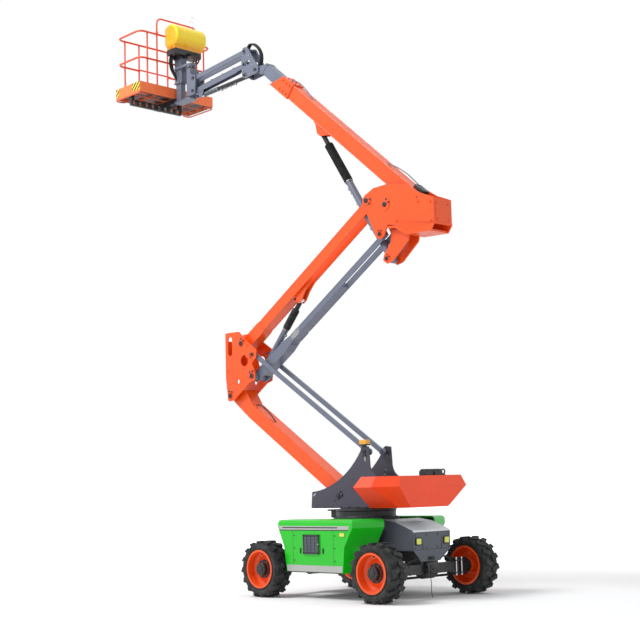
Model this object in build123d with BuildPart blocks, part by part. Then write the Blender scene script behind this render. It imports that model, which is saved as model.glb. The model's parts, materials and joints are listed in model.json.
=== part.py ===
"""Articulating boom lift on four rough-terrain wheels, in millimetres.

The origin is on the ground under the slewing axis. +X points to the steered end and
the counterweight, +Z is up, and the booms work in the plane Y = 0, reaching towards -X.
"""
from build123d import *
from math import cos, radians, sin
import os

# Fits
RUN = 0.3              # running clearance of a pin in its bore, and of flat sliding faces
SIDE_GAP = 10.0        # free space beside a lever between two cheeks

# Wheels
WHEELBASE = 2350.0
OVERALL_WIDTH = 2300.0
TYRE_RADIUS = 419.0
TYRE_WIDTH = 305.0
LUG_HEIGHT = 30.0
LUG_COUNT = 16
LUG_THICKNESS = 74.0
LUG_SLANT = 24.0
RIM_RADIUS = 270.0
RIM_WALL = 14.0
RIM_LIP = 16.0
HUB_RADIUS = 112.0
HUB_CAP_RADIUS = 92.0
SPINDLE_RADIUS = 40.0

# Axles and steering
AXLE_HEIGHT = 140.0
AXLE_DEPTH = 140.0
AXLE_INSET = 180.0       # from a king pin to the axle's end
BULGE_RADIUS = 140.0
BULGE_HALF = 110.0
KING_PIN_INSET = 217.5   # from a wheel's middle to its king pin
KING_PIN_RADIUS = 25.0
KNUCKLE_HALF = 100.0
YOKE_EAR = 25.0
STEER_ARM = 170.0
TIE_ROD_RADIUS = 18.0

# Chassis
FRAME_SETBACK = 475.0     # from an axle to the frame's end
FRAME_HALF_WIDTH = 540.0
FRAME_BOTTOM = 430.0
FRAME_TOP = 1080.0
FRAME_WALL = 20.0
END_BEAM_HALF = 200.0
END_BEAM_BOTTOM = 600.0
END_BEAM_TOP = 860.0
END_BEAM_OVERHANG = 40.0
DECK_RADIUS = 500.0
DECK_TOP = 1150.0
SLEW_RADIUS = 390.0
COVER_HALF_WIDTH = 1000.0
COVER_WALL = 25.0
COVER_TOP = 1150.0
COVER_SHOULDER = 1030.0
COVER_WAIST = 760.0
COVER_BOTTOM = 385.0
COVER_SWEEP = 0.42
HATCH_X = (-330.0, 20.0)
HATCH_Z = (650.0, 940.0)
HATCH_THICKNESS = 12.0
HATCH_LAP = 22.0
END_COVER_HALF = 395.0
END_COVER_OVERHANG = 135.0
END_COVER_WALL = 15.0
BATTERY_SETBACK = (615.0, 795.0)
BATTERY_GAP = (20.0, 100.0)
BATTERY_Z = (440.0, 900.0)
TIE_DOWN_RADIUS = 20.0
TIE_DOWN_SETBACK = 381.0
TIE_DOWN_Z = 600.0
TIE_DOWN_THICKNESS = 25.0

# Turret
TURRET_BOTTOM = 1297.0
TURRET_FLOOR = 28.0
TURRET_CHEEK = (230.0, 250.0)
TURRET_NOSE = -940.0
TURRET_TAIL = 1000.0
WEIGHT_HALF = 1000.0
WEIGHT_SHOULDER = 1600.0
WEIGHT_TOP = 1750.0
STOW_HALF = 140.0
STOW_LOW = 1600.0
BEACON_RISE = (94.0, 172.0)

# Boom geometry in the plane Y = 0, as the machine stands
LOWER_PIN = (-340.0, 1480.0)
LOWER_RISER_LENGTH = 3079.0
LOWER_RISER_ANGLE = 146.6
LEVEL_OFFSET = (580.0, 648.0)
KNUCKLE_RISE = (300.0, 855.0)
UPPER_RISER_LENGTH = 3559.0
UPPER_RISER_ANGLE = 32.26
LINK_OFFSET = (260.0, -560.0)
BOOM_PIVOT = (386.0, -127.0)
LIFT_BASE = (312.0, -932.0)
BOOM_ANGLE = 139.4
LIFT_EYE = (2106.0, 122.0)
HEAD_PIVOT = (4147.0, 233.0)
JIB_PIVOT = (-300.0, 165.0)
JIB_LENGTH = 1410.0
JIB_ANGLE = 185.0
JIB_OFFSET = (10.0, 235.0)
JIB_RAM_BASE = (5.0, -190.0)
JIB_RAM_EYE = (1280.0, -115.0)

# Boom sections
RISER_PIN = 42.0
LINK_PIN = 32.0
CHEEK = (180.0, 200.0)
LOWER_RISER_DEPTH = 215.0
LOWER_RISER_HALF = 115.0
UPPER_RISER_DEPTH = 176.0
FORK = (75.0, 95.0)
FORK_START = 1600.0
BEAM_WALL = 10.0
BAR_Y = (125.0, 165.0)
BAR_DEPTH = 70.0
LINK_DEPTH = 92.0
LINK_CHANNEL_END = 1060.0
LINK_FORK_START = 2380.0
BOOM_DEPTH = 230.0
BOOM_HALF = 100.0
BOOM_CENTRE = 337.0
BOOM_TAIL = -435.0
BOOM_FRONT = 3520.0
BOOM_SLANT = 120.0
COLLAR_LENGTH = 420.0
COLLAR_LAND = 18.0
FLY_DEPTH = 190.0
FLY_HALF = 80.0
FLY_REAR = 350.0
FLY_FRONT = 3990.0
FLY_PAD = 120.0

# Cylinders
RAM_EYE = 40.0
EYE_SLOT = 38.0
RISER_RAM_EYE = (1414.0, -186.0)
RISER_RAM_BARREL = 50.0
RISER_RAM_ROD = 30.0
RISER_RAM_LENGTH = 1010.0
LIFT_BARREL = 56.0
LIFT_ROD = 36.0
LIFT_LENGTH = 1640.0
JIB_BARREL = 34.0
JIB_ROD = 18.0
JIB_RAM_LENGTH = 860.0
RAM_TONGUE = 32.0
EAR = (40.0, 60.0)

# Jib and platform
HEAD_CHEEK = (84.0, 104.0)
JIB_PIN = 24.0
JIB_ARM_HALF = 50.0
JIB_ARM_DEPTH = 96.0
JIB_RELIEF = 9.0
JIB_LINK_Y = (57.0, 77.0)
JIB_LINK_DEPTH = 80.0
ROTATOR_OFFSET = -183.4
ROTATOR_RADIUS = 85.0
ROTATOR_RISE = (-75.4, 514.6)
ROTATOR_PIN = 40.0
PLATFORM_REACH = (-1160.0, -420.0)
PLATFORM_HALF = 830.0
FLOOR_RISE = 115.0
FLOOR_FRAME = 45.0
FLOOR_SHEET = 6.0
FLOOR_PANEL = 4.0
FLOOR_INSET = 60.0
TOE_HEIGHT = 150.0
TOE_THICKNESS = 5.0
TOP_RAIL_RISE = 1120.0
MID_RAIL_RISE = 610.0
RAIL_RADIUS = 18.0
RAIL_CORNER = 110.0
POST_INSET = 160.0
POST_REACH = (-405.0, -205.0)
POST_HALF = 60.0
POST_TOP_RISE = 670.0
POST_FLANGE_RISE = 230.0
BASE_BEAM_REACH = (-740.0, -680.0)
BASE_BEAM_Y = (-830.0, 300.0)
BASE_BEAM_DEPTH = 105.0
BASE_WINDOWS = 8
GATE_Y = (-330.0, 330.0)
GATE_RADIUS = 14.0
GUARD_Y = (-430.0, 480.0)
CONSOLE_REACH = (-420.0, -115.0)
CONSOLE_Y = (-280.0, 420.0)
CONSOLE_RISE = (840.0, 1280.0)


def shifted(point, offset):
    """Return a point of the XZ plane moved by an offset."""
    return (point[0] + offset[0], point[1] + offset[1])


def along(origin, angle, run, rise=0.0):
    """Return the XZ point at `run` along a boom and `rise` above its axis."""
    c = cos(radians(angle))
    s = sin(radians(angle))
    up = 1.0 if c >= 0 else -1.0
    return (origin[0] + run * c - up * rise * s, origin[1] + run * s + up * rise * c)


def boom_plane(origin, angle):
    """Return a plane in Y = 0 whose x runs along a boom and whose y is the boom's upper side."""
    c = cos(radians(angle))
    s = sin(radians(angle))
    normal = (0, -1, 0) if c >= 0 else (0, 1, 0)
    return Plane(origin=(origin[0], 0, origin[1]), x_dir=(c, 0, s), z_dir=normal)


def axis_plane(origin, angle):
    """Return a plane at `origin` whose normal runs along a cylinder in the XZ plane."""
    return Plane(
        origin=(origin[0], 0, origin[1]),
        x_dir=(0, 1, 0),
        z_dir=(cos(radians(angle)), 0, sin(radians(angle))),
    )


def angle_between(start, end):
    """Return the direction in degrees from one XZ point to another."""
    return Vector(1, 0, 0).get_signed_angle(
        Vector(end[0] - start[0], end[1] - start[1], 0), Vector(0, 0, 1)
    )


def distance(start, end):
    """Return the distance between two XZ points."""
    return ((end[0] - start[0]) ** 2 + (end[1] - start[1]) ** 2) ** 0.5


def plates(plane, outline, inner, outer, rounding=0.0, mode=Mode.ADD):
    """Make a pair of plates of one outline, between two distances from the plane."""
    for side in (1, -1):
        with BuildSketch(plane.offset(side * inner)) as profile:
            with BuildLine():
                Polyline(*outline, close=True)
            make_face()
            if rounding:
                fillet(profile.vertices(), rounding)
        extrude(profile.sketch, amount=side * (outer - inner), mode=mode)


def block(plane, outline, half, rounding=0.0, mode=Mode.ADD):
    """Make one block of an outline, as thick on both sides of the plane."""
    with BuildSketch(plane) as profile:
        with BuildLine():
            Polyline(*outline, close=True)
        make_face()
        if rounding:
            fillet(profile.vertices(), rounding)
    extrude(profile.sketch, amount=half, both=True, mode=mode)


def rectangle(x_low, x_high, y_low, y_high):
    """Return the corners of a rectangle."""
    return [(x_low, y_low), (x_high, y_low), (x_high, y_high), (x_low, y_high)]


def cross_pin(point, radius, outer, inner=0.0, mode=Mode.ADD):
    """Make a round pin across the booms: one pin, or two stubs that leave the middle free."""
    if inner == 0.0:
        with BuildSketch(Plane.XZ) as section:
            with Locations(point):
                Circle(radius)
        extrude(section.sketch, amount=outer, both=True, mode=mode)
        return
    for side in (1, -1):
        with BuildSketch(Plane.XZ.offset(side * inner)) as section:
            with Locations(point):
                Circle(radius)
        extrude(section.sketch, amount=side * (outer - inner), mode=mode)


def bore(point, radius, reach=400.0):
    """Drill a bore across the booms."""
    cross_pin(point, radius, reach, mode=Mode.SUBTRACT)


def round_stock(plane, start, end, radius, mode=Mode.ADD):
    """Make a round bar along a plane's normal."""
    with BuildSketch(plane.offset(start)) as section:
        Circle(radius)
    extrude(section.sketch, amount=end - start, mode=mode)


def box_between(x, y, z, mode=Mode.ADD):
    """Make a box between pairs of coordinates."""
    with Locations(((x[0] + x[1]) / 2, (y[0] + y[1]) / 2, (z[0] + z[1]) / 2)):
        Box(x[1] - x[0], y[1] - y[0], z[1] - z[0], mode=mode)


def tube_run(points, radius, corner=0.0, close=False):
    """Sweep a round rail along a polyline with bent corners."""
    with BuildLine() as path:
        if corner:
            FilletPolyline(*points, radius=corner, close=close)
        else:
            Polyline(*points, close=close)
    with BuildSketch(Plane(origin=path.line @ 0, z_dir=path.line % 0)) as section:
        Circle(radius)
    sweep(section.sketch, path=path.line)


# Pins of the boom linkage
lower_pin = LOWER_PIN
level_pin = shifted(lower_pin, LEVEL_OFFSET)
knuckle_pin = along(lower_pin, LOWER_RISER_ANGLE, LOWER_RISER_LENGTH)
knuckle_level_pin = shifted(knuckle_pin, LEVEL_OFFSET)
upper_pin = shifted(knuckle_pin, KNUCKLE_RISE)
link_pin = shifted(upper_pin, LINK_OFFSET)
upright_pin = along(upper_pin, UPPER_RISER_ANGLE, UPPER_RISER_LENGTH)
upright_link_pin = shifted(upright_pin, LINK_OFFSET)
boom_pin = shifted(upright_pin, BOOM_PIVOT)
lift_base = shifted(upright_pin, LIFT_BASE)
lift_eye = along(boom_pin, BOOM_ANGLE, *LIFT_EYE)
riser_eye = along(upper_pin, UPPER_RISER_ANGLE, *RISER_RAM_EYE)
head_pin = along(boom_pin, BOOM_ANGLE, *HEAD_PIVOT)
jib_pin = shifted(head_pin, JIB_PIVOT)
jib_link_pin = shifted(jib_pin, JIB_OFFSET)
jib_end = along(jib_pin, JIB_ANGLE, JIB_LENGTH)
jib_link_end = shifted(jib_end, JIB_OFFSET)
jib_ram_base = shifted(jib_pin, JIB_RAM_BASE)
jib_ram_eye = along(jib_pin, JIB_ANGLE, *JIB_RAM_EYE)


def spread(origin, offsets):
    """Return a pair of coordinates at two offsets from one coordinate."""
    return (origin + offsets[0], origin + offsets[1])


# Platform, carried at the jib's end
rotator_x = jib_end[0] + ROTATOR_OFFSET
rotator_z = spread(jib_end[1], ROTATOR_RISE)
platform_x = spread(rotator_x, PLATFORM_REACH)
post_x = spread(rotator_x, POST_REACH)
base_beam_x = spread(rotator_x, BASE_BEAM_REACH)
console_x = spread(rotator_x, CONSOLE_REACH)
floor_z = rotator_z[0] + FLOOR_RISE
top_rail_z = floor_z + TOP_RAIL_RISE
mid_rail_z = floor_z + MID_RAIL_RISE
post_top = floor_z + POST_TOP_RISE
post_flange = floor_z + POST_FLANGE_RISE
console_z = spread(floor_z, CONSOLE_RISE)

axle_x = WHEELBASE / 2
wheel_y = (OVERALL_WIDTH - TYRE_WIDTH) / 2
wheel_z = TYRE_RADIUS
half_tyre = TYRE_WIDTH / 2
rim_half = half_tyre - 4.5
flange_y = wheel_y - half_tyre + 35.0
king_pin_y = wheel_y - KING_PIN_INSET
axle_half = king_pin_y - AXLE_INSET

# Chassis lengths from the axles
frame_half_length = axle_x - FRAME_SETBACK
end_beam_reach = axle_x + END_BEAM_OVERHANG
end_cover_reach = axle_x + END_COVER_OVERHANG
tie_down_x = axle_x - TIE_DOWN_SETBACK
tie_down_y = FRAME_HALF_WIDTH - TIE_DOWN_THICKNESS / 2
battery_x = (BATTERY_SETBACK[0] - axle_x, axle_x - BATTERY_SETBACK[1])
battery_y = (FRAME_HALF_WIDTH + BATTERY_GAP[0], COVER_HALF_WIDTH - BATTERY_GAP[1])
beacon_z = spread(level_pin[1], BEACON_RISE)

# Wheels
with BuildPart() as tyre_form:
    with BuildSketch(Plane.YZ) as tyre_profile:
        with BuildLine():
            Polyline(
                (-rim_half + 18, RIM_RADIUS + RUN),
                (-rim_half + 12, RIM_RADIUS + 20),
                (-half_tyre, RIM_RADIUS + 70),
                (-half_tyre + 3, TYRE_RADIUS - LUG_HEIGHT - 16),
                (-half_tyre + 40, TYRE_RADIUS - LUG_HEIGHT),
                (half_tyre - 40, TYRE_RADIUS - LUG_HEIGHT),
                (half_tyre - 3, TYRE_RADIUS - LUG_HEIGHT - 16),
                (half_tyre, RIM_RADIUS + 70),
                (rim_half - 12, RIM_RADIUS + 20),
                (rim_half - 18, RIM_RADIUS + RUN),
                close=True,
            )
        make_face()
    revolve(tyre_profile.sketch, axis=Axis.Y)
    lug_length = half_tyre - 6
    for side in (1, -1):
        for index in range(LUG_COUNT):
            turn = 360 / LUG_COUNT * (index + (0.25 if side > 0 else -0.25))
            place = Location((0, 0, 0), (0, turn, 0)) * Location(
                (TYRE_RADIUS - LUG_HEIGHT / 2 - 8, side * lug_length / 2, 0),
                (side * LUG_SLANT, 0, 0),
            )
            with Locations(place):
                Box(LUG_HEIGHT + 16, lug_length * 0.94, LUG_THICKNESS)
    Cylinder(TYRE_RADIUS, TYRE_WIDTH, rotation=(90, 0, 0), mode=Mode.INTERSECT)

with BuildPart() as rim_form:
    with BuildSketch(Plane.YZ) as rim_profile:
        with BuildLine():
            Polyline(
                (-rim_half, RIM_RADIUS + RIM_LIP),
                (-rim_half + 10, RIM_RADIUS + RIM_LIP),
                (-rim_half + 12, RIM_RADIUS),
                (rim_half - 12, RIM_RADIUS),
                (rim_half - 10, RIM_RADIUS + RIM_LIP),
                (rim_half, RIM_RADIUS + RIM_LIP),
                (rim_half, RIM_RADIUS - RIM_WALL),
                (30, RIM_RADIUS - RIM_WALL - 6),
                (10, RIM_RADIUS - 70),
                (40, HUB_RADIUS + 30),
                (40, HUB_RADIUS),
                (62, HUB_RADIUS - 4),
                (66, HUB_CAP_RADIUS),
                (92, HUB_CAP_RADIUS - 6),
                (92, 0),
                (20, 0),
                (20, SPINDLE_RADIUS + RUN),
                (flange_y - wheel_y + RUN, SPINDLE_RADIUS + RUN),
                (flange_y - wheel_y + RUN, HUB_RADIUS),
                (20, HUB_RADIUS),
                (20, HUB_RADIUS + 30),
                (-8, RIM_RADIUS - 70),
                (10, RIM_RADIUS - RIM_WALL - 6),
                (-rim_half, RIM_RADIUS - RIM_WALL),
                close=True,
            )
        make_face()
    revolve(rim_profile.sketch, axis=Axis.Y)

corners = {
    "front_left": (axle_x, 1),
    "front_right": (axle_x, -1),
    "rear_left": (-axle_x, 1),
    "rear_right": (-axle_x, -1),
}
wheel_parts = {}
for corner_name, (wheel_x, side) in corners.items():
    seat = Location((wheel_x, side * wheel_y, wheel_z), (0, 0, 0 if side > 0 else 180))
    with BuildPart() as tyre:
        add(tyre_form.part.moved(seat))
    with BuildPart() as rim:
        add(rim_form.part.moved(seat))
    wheel_parts["tyre_" + corner_name] = tyre
    wheel_parts["rim_" + corner_name] = rim

# Axles and steering
with BuildPart() as axles:
    axle_bottom = wheel_z - AXLE_HEIGHT / 2
    axle_top = wheel_z + AXLE_HEIGHT / 2
    axle_span = (axle_x - AXLE_DEPTH / 2, axle_x + AXLE_DEPTH / 2)
    box_between(axle_span, (-axle_half, axle_half), (axle_bottom, axle_top))
    with Locations(Location((axle_x, 0, wheel_z), (90, 0, 0))):
        Cylinder(BULGE_RADIUS, 2 * BULGE_HALF)
    box_between(axle_span, (-180, 180), (wheel_z, END_BEAM_BOTTOM))
    ear_half = KNUCKLE_HALF + YOKE_EAR
    for side in (1, -1):
        reach = sorted((side * (axle_half - 10), side * (axle_half + 50)))
        box_between((axle_x - 60, axle_x + 60), reach, (wheel_z - ear_half, wheel_z + ear_half))
        ears = sorted((side * (axle_half + 40), side * (king_pin_y + 55)))
        for low in (-ear_half, KNUCKLE_HALF):
            box_between((axle_x - 55, axle_x + 55), ears, (wheel_z + low, wheel_z + low + YOKE_EAR))
        with Locations((axle_x, side * king_pin_y, wheel_z)):
            Cylinder(KING_PIN_RADIUS, 2 * ear_half)
    rear_span = (-axle_x - AXLE_DEPTH / 2, -axle_x + AXLE_DEPTH / 2)
    box_between(rear_span, (-axle_half, axle_half), (axle_bottom, axle_top))
    with Locations(Location((-axle_x, 0, wheel_z), (90, 0, 0))):
        Cylinder(BULGE_RADIUS, 2 * BULGE_HALF)
    box_between(rear_span, (-180, 180), (wheel_z, END_BEAM_BOTTOM))
    for side in (1, -1):
        outward = Plane(origin=(-axle_x, 0, wheel_z), z_dir=(0, side, 0))
        round_stock(outward, axle_half - 10, flange_y - 20, AXLE_HEIGHT / 2)
        round_stock(outward, flange_y - 20, flange_y, HUB_RADIUS - 6)
        round_stock(outward, flange_y, wheel_y + 10, SPINDLE_RADIUS)

knuckle_parts = {}
for knuckle_name, side in (("knuckle_left", 1), ("knuckle_right", -1)):
    with BuildPart() as knuckle:
        height = (wheel_z - KNUCKLE_HALF + RUN, wheel_z + KNUCKLE_HALF - RUN)
        span = sorted((side * (king_pin_y - 55), side * (flange_y - 20)))
        box_between((axle_x - 52, axle_x + 52), span, height)
        arm_span = sorted((side * (king_pin_y - 55), side * (king_pin_y - 5)))
        arm_x = (axle_x - STEER_ARM - 25, axle_x)
        box_between(arm_x, arm_span, (height[0], height[0] + 26))
        outward = Plane(origin=(axle_x, 0, wheel_z), z_dir=(0, side, 0))
        round_stock(outward, flange_y - 20, flange_y, HUB_RADIUS - 6)
        round_stock(outward, flange_y, wheel_y + 10, SPINDLE_RADIUS)
        with Locations((axle_x, side * king_pin_y, wheel_z)):
            Cylinder(KING_PIN_RADIUS + RUN, 4 * KNUCKLE_HALF, mode=Mode.SUBTRACT)
    knuckle_parts[knuckle_name] = knuckle

with BuildPart() as tie_rod:
    rod_y = king_pin_y - 30
    stud_top = wheel_z - KNUCKLE_HALF
    rod_z = stud_top - 30
    rod_x = axle_x - STEER_ARM
    round_stock(Plane(origin=(rod_x, 0, rod_z), z_dir=(0, 1, 0)), -rod_y - 20, rod_y + 20, TIE_ROD_RADIUS)
    for side in (1, -1):
        round_stock(Plane((rod_x, side * rod_y, rod_z)), 0, stud_top - rod_z, 14)

# Chassis
with BuildPart() as chassis_frame:
    box_between(
        (-frame_half_length, frame_half_length),
        (-FRAME_HALF_WIDTH, FRAME_HALF_WIDTH),
        (FRAME_BOTTOM, FRAME_TOP),
    )
    box_between(
        (-frame_half_length + FRAME_WALL, frame_half_length - FRAME_WALL),
        (-FRAME_HALF_WIDTH + FRAME_WALL, FRAME_HALF_WIDTH - FRAME_WALL),
        (FRAME_BOTTOM + FRAME_WALL, FRAME_TOP - FRAME_WALL),
        mode=Mode.SUBTRACT,
    )
    for end in (1, -1):
        reach = sorted((end * frame_half_length, end * end_beam_reach))
        box_between(reach, (-END_BEAM_HALF, END_BEAM_HALF), (END_BEAM_BOTTOM, END_BEAM_TOP))
        for side in (1, -1):
            lug_x = sorted((end * (frame_half_length - 5), end * (tie_down_x + 45)))
            lug_y = sorted((side * (tie_down_y - TIE_DOWN_THICKNESS / 2), side * (tie_down_y + TIE_DOWN_THICKNESS / 2)))
            box_between(lug_x, lug_y, (TIE_DOWN_Z - 50, TIE_DOWN_Z + 50))
            with Locations(Location((end * tie_down_x, side * tie_down_y, TIE_DOWN_Z), (90, 0, 0))):
                Cylinder(TIE_DOWN_RADIUS, 2 * TIE_DOWN_THICKNESS, mode=Mode.SUBTRACT)
    round_stock(Plane.XY, FRAME_TOP, DECK_TOP, DECK_RADIUS)
    round_stock(Plane.XY, DECK_TOP, TURRET_BOTTOM - RUN, SLEW_RADIUS)

cover_levels = [
    (COVER_BOTTOM, 475 - axle_x, axle_x - 695, COVER_HALF_WIDTH),
    (COVER_WAIST, 415 - axle_x, axle_x - 655, COVER_HALF_WIDTH),
    (COVER_SHOULDER, 290 - axle_x, axle_x - 485, COVER_HALF_WIDTH),
    (COVER_TOP - 45, 290 - axle_x, axle_x - 485, COVER_HALF_WIDTH),
    (COVER_TOP - 12, 295 - axle_x, axle_x - 491, COVER_HALF_WIDTH - 18),
    (COVER_TOP, 310 - axle_x, axle_x - 507, COVER_HALF_WIDTH - 55),
]


def cover_section(level, rear, front, half, side, inset=0.0):
    """Draw one level of a side cover, with its front end swept back from the middle."""
    sweep_back = COVER_SWEEP * (half - FRAME_HALF_WIDTH)
    with BuildSketch(Plane.XY.offset(level)) as section:
        with BuildLine():
            Polyline(
                (rear + inset, side * FRAME_HALF_WIDTH),
                (rear + inset, side * (half - inset)),
                (front - inset, side * (half - inset)),
                (front + sweep_back - inset, side * FRAME_HALF_WIDTH),
                close=True,
            )
        make_face()
    return section.sketch


with BuildPart() as side_covers:
    for side in (1, -1):
        shell = [cover_section(*level, side) for level in cover_levels]
        loft(shell, ruled=True)
    for side in (1, -1):
        pocket = [cover_section(*level, side, COVER_WALL) for level in cover_levels[:-1]]
        pocket[0] = pocket[0].moved(Location((0, 0, COVER_WALL)))
        pocket[-1] = pocket[-1].moved(Location((0, 0, -COVER_WALL / 2)))
        loft(pocket, ruled=True, mode=Mode.SUBTRACT)
    opening_x = (HATCH_X[0] + HATCH_LAP, HATCH_X[1] - HATCH_LAP)
    opening_z = (HATCH_Z[0] + HATCH_LAP, HATCH_Z[1] - HATCH_LAP)
    for side in (1, -1):
        reach = sorted((side * (COVER_HALF_WIDTH - 60), side * (COVER_HALF_WIDTH + 50)))
        box_between(opening_x, reach, opening_z, mode=Mode.SUBTRACT)

hatch_parts = {}
for hatch_name, side in (("hatch_left", 1), ("hatch_right", -1)):
    with BuildPart() as hatch:
        skin = sorted((side * (COVER_HALF_WIDTH + RUN), side * (COVER_HALF_WIDTH + HATCH_THICKNESS)))
        box_between(HATCH_X, skin, HATCH_Z)
        hinge_y = side * (COVER_HALF_WIDTH + (HATCH_THICKNESS + RUN) / 2)
        round_stock(Plane((HATCH_X[0], hinge_y, 0)), *HATCH_Z, (HATCH_THICKNESS - RUN) / 2)
    hatch_parts[hatch_name] = hatch

end_outline = [
    (frame_half_length, 1130),
    (frame_half_length + 260, 1095),
    (end_cover_reach - 20, 975),
    (end_cover_reach, 950),
    (end_cover_reach - 10, 690),
    (end_cover_reach - 40, 530),
    (axle_x - 85, 615),
    (frame_half_length, 615),
]
with BuildPart() as end_covers:
    for end in (1, -1):
        outline = [(end * x, z) for x, z in end_outline]
        block(Plane.XZ, outline, END_COVER_HALF)
        with BuildSketch(Plane.XZ) as hollow:
            with BuildLine():
                Polyline(*outline, close=True)
            make_face()
            offset(amount=-END_COVER_WALL, mode=Mode.REPLACE)
        extrude(hollow.sketch, amount=END_COVER_HALF - END_COVER_WALL, both=True, mode=Mode.SUBTRACT)
        inner_x = sorted((end * (frame_half_length - 5), end * (end_cover_reach - 60)))
        box_between(inner_x, (-END_COVER_HALF + 60, END_COVER_HALF - 60), (500, 900), mode=Mode.SUBTRACT)
        for side in (1, -1):
            with BuildSketch(Plane.YZ) as taper:
                with BuildLine():
                    Polyline((side * 190, 520), (side * 400, 700), (side * 400, 520), close=True)
                make_face()
            extrude(taper.sketch, amount=end * (end_cover_reach + 90), mode=Mode.SUBTRACT)

with BuildPart() as lamps:
    for end in (1, -1):
        for lamp_y in (-300, 300):
            face = Plane(origin=(end * (end_cover_reach - 6), lamp_y, 820), z_dir=(end, 0, 0))
            round_stock(face, 2.6, 24, 38)

with BuildPart() as battery_packs:
    for side in (1, -1):
        span = sorted((side * battery_y[0], side * battery_y[1]))
        box_between(battery_x, span, BATTERY_Z)
        seat = sorted((side * FRAME_HALF_WIDTH, side * battery_y[0]))
        box_between((battery_x[0] + 100, battery_x[1] - 100), seat, (BATTERY_Z[0], BATTERY_Z[0] + 60))

# Turret and counterweight
cheek_top = [shifted(level_pin, point) for point in ((-80, 12), (-65, 62), (-10, 87), (90, 72), (105, -168))]
stow_z = (STOW_LOW, STOW_LOW + 400)
cheek_step = (TURRET_TAIL - 440, TURRET_BOTTOM + 443)
cheek_nose = (TURRET_NOSE + 25, TURRET_BOTTOM + 252)
with BuildPart() as turret:
    for side in (1, -1):
        with BuildSketch(Plane.XZ.offset(side * TURRET_CHEEK[0])) as cheek_profile:
            with BuildLine():
                Polyline(*cheek_top)
                ThreePointArc(cheek_top[-1], shifted(level_pin, (160, -318)), cheek_step)
                Polyline(
                    cheek_step,
                    (TURRET_TAIL, TURRET_BOTTOM + 403),
                    (TURRET_TAIL, TURRET_BOTTOM),
                    (TURRET_NOSE, TURRET_BOTTOM),
                    cheek_nose,
                )
                ThreePointArc(cheek_nose, shifted(lower_pin, (150, 320)), cheek_top[0])
            make_face()
        extrude(cheek_profile.sketch, amount=side * (TURRET_CHEEK[1] - TURRET_CHEEK[0]))
    box_between(
        (TURRET_NOSE, TURRET_TAIL),
        (-TURRET_CHEEK[1], TURRET_CHEEK[1]),
        (TURRET_BOTTOM, TURRET_BOTTOM + TURRET_FLOOR),
    )
    box_between(
        (TURRET_TAIL - 20, TURRET_TAIL),
        (-TURRET_CHEEK[1], TURRET_CHEEK[1]),
        (TURRET_BOTTOM, TURRET_BOTTOM + 393),
    )
    box_between((TURRET_TAIL - 40, TURRET_TAIL + 20), (-STOW_HALF, STOW_HALF), stow_z, mode=Mode.SUBTRACT)
    cross_pin(lower_pin, RISER_PIN, TURRET_CHEEK[1] + 12)
    cross_pin(level_pin, LINK_PIN, TURRET_CHEEK[1] + 10, BAR_Y[0] - 12)
    beacon_x = level_pin[0]
    box_between((beacon_x - 18, beacon_x + 18), (-TURRET_CHEEK[1], -TURRET_CHEEK[0]), (beacon_z[0] - 32, beacon_z[0] + 5))
    box_between((beacon_x - 62, beacon_x + 68), (-TURRET_CHEEK[1] - 30, -TURRET_CHEEK[0] + 30), beacon_z)

weight_levels = [
    (TURRET_BOTTOM, TURRET_TAIL - 440, TURRET_TAIL + 290, WEIGHT_HALF - 480, 120),
    (WEIGHT_SHOULDER, TURRET_TAIL - 360, TURRET_TAIL + 375, WEIGHT_HALF, 280),
    (WEIGHT_TOP, TURRET_TAIL - 280, TURRET_TAIL + 330, WEIGHT_HALF - 100, 240),
]
with BuildPart() as counterweight:
    for level, front, back, half, bevel in weight_levels:
        with BuildSketch(Plane.XY.offset(level)) as ring:
            with BuildLine():
                Polyline(
                    (front, -half + bevel / 3),
                    (front + bevel / 3, -half),
                    (back - bevel, -half),
                    (back, -half + bevel),
                    (back, half - bevel),
                    (back - bevel, half),
                    (front + bevel / 3, half),
                    (front, half - bevel / 3),
                    close=True,
                )
            make_face()
    loft(ruled=True)
    box_between(
        (0, TURRET_TAIL),
        (-TURRET_CHEEK[1], TURRET_CHEEK[1]),
        (TURRET_BOTTOM - 10, TURRET_BOTTOM + 700),
        mode=Mode.SUBTRACT,
    )
    box_between((TURRET_TAIL - 10, TURRET_TAIL + 170), (-STOW_HALF, STOW_HALF), stow_z, mode=Mode.SUBTRACT)

# Lower riser and its levelling bars
lower_plane = boom_plane(lower_pin, LOWER_RISER_ANGLE)
half_depth = LOWER_RISER_DEPTH / 2
with BuildPart() as lower_riser:
    block(
        lower_plane,
        [
            (-70, -70),
            (80, -half_depth),
            (LOWER_RISER_LENGTH - 420, -half_depth),
            (LOWER_RISER_LENGTH - 60, -80),
            (LOWER_RISER_LENGTH + 70, -60),
            (LOWER_RISER_LENGTH + 70, 60),
            (LOWER_RISER_LENGTH - 200, 230),
            (LOWER_RISER_LENGTH - 480, half_depth),
            (80, half_depth),
            (-70, 70),
        ],
        LOWER_RISER_HALF,
    )
    block(
        lower_plane,
        rectangle(180, LOWER_RISER_LENGTH - 480, -half_depth + BEAM_WALL, half_depth - BEAM_WALL),
        LOWER_RISER_HALF - BEAM_WALL,
        mode=Mode.SUBTRACT,
    )
    cross_pin(lower_pin, RISER_PIN + 30, TURRET_CHEEK[0] - RUN)
    cross_pin(knuckle_pin, RISER_PIN + 30, CHEEK[0] - RUN)
    bore(lower_pin, RISER_PIN + RUN)
    bore(knuckle_pin, RISER_PIN + RUN)

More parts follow.
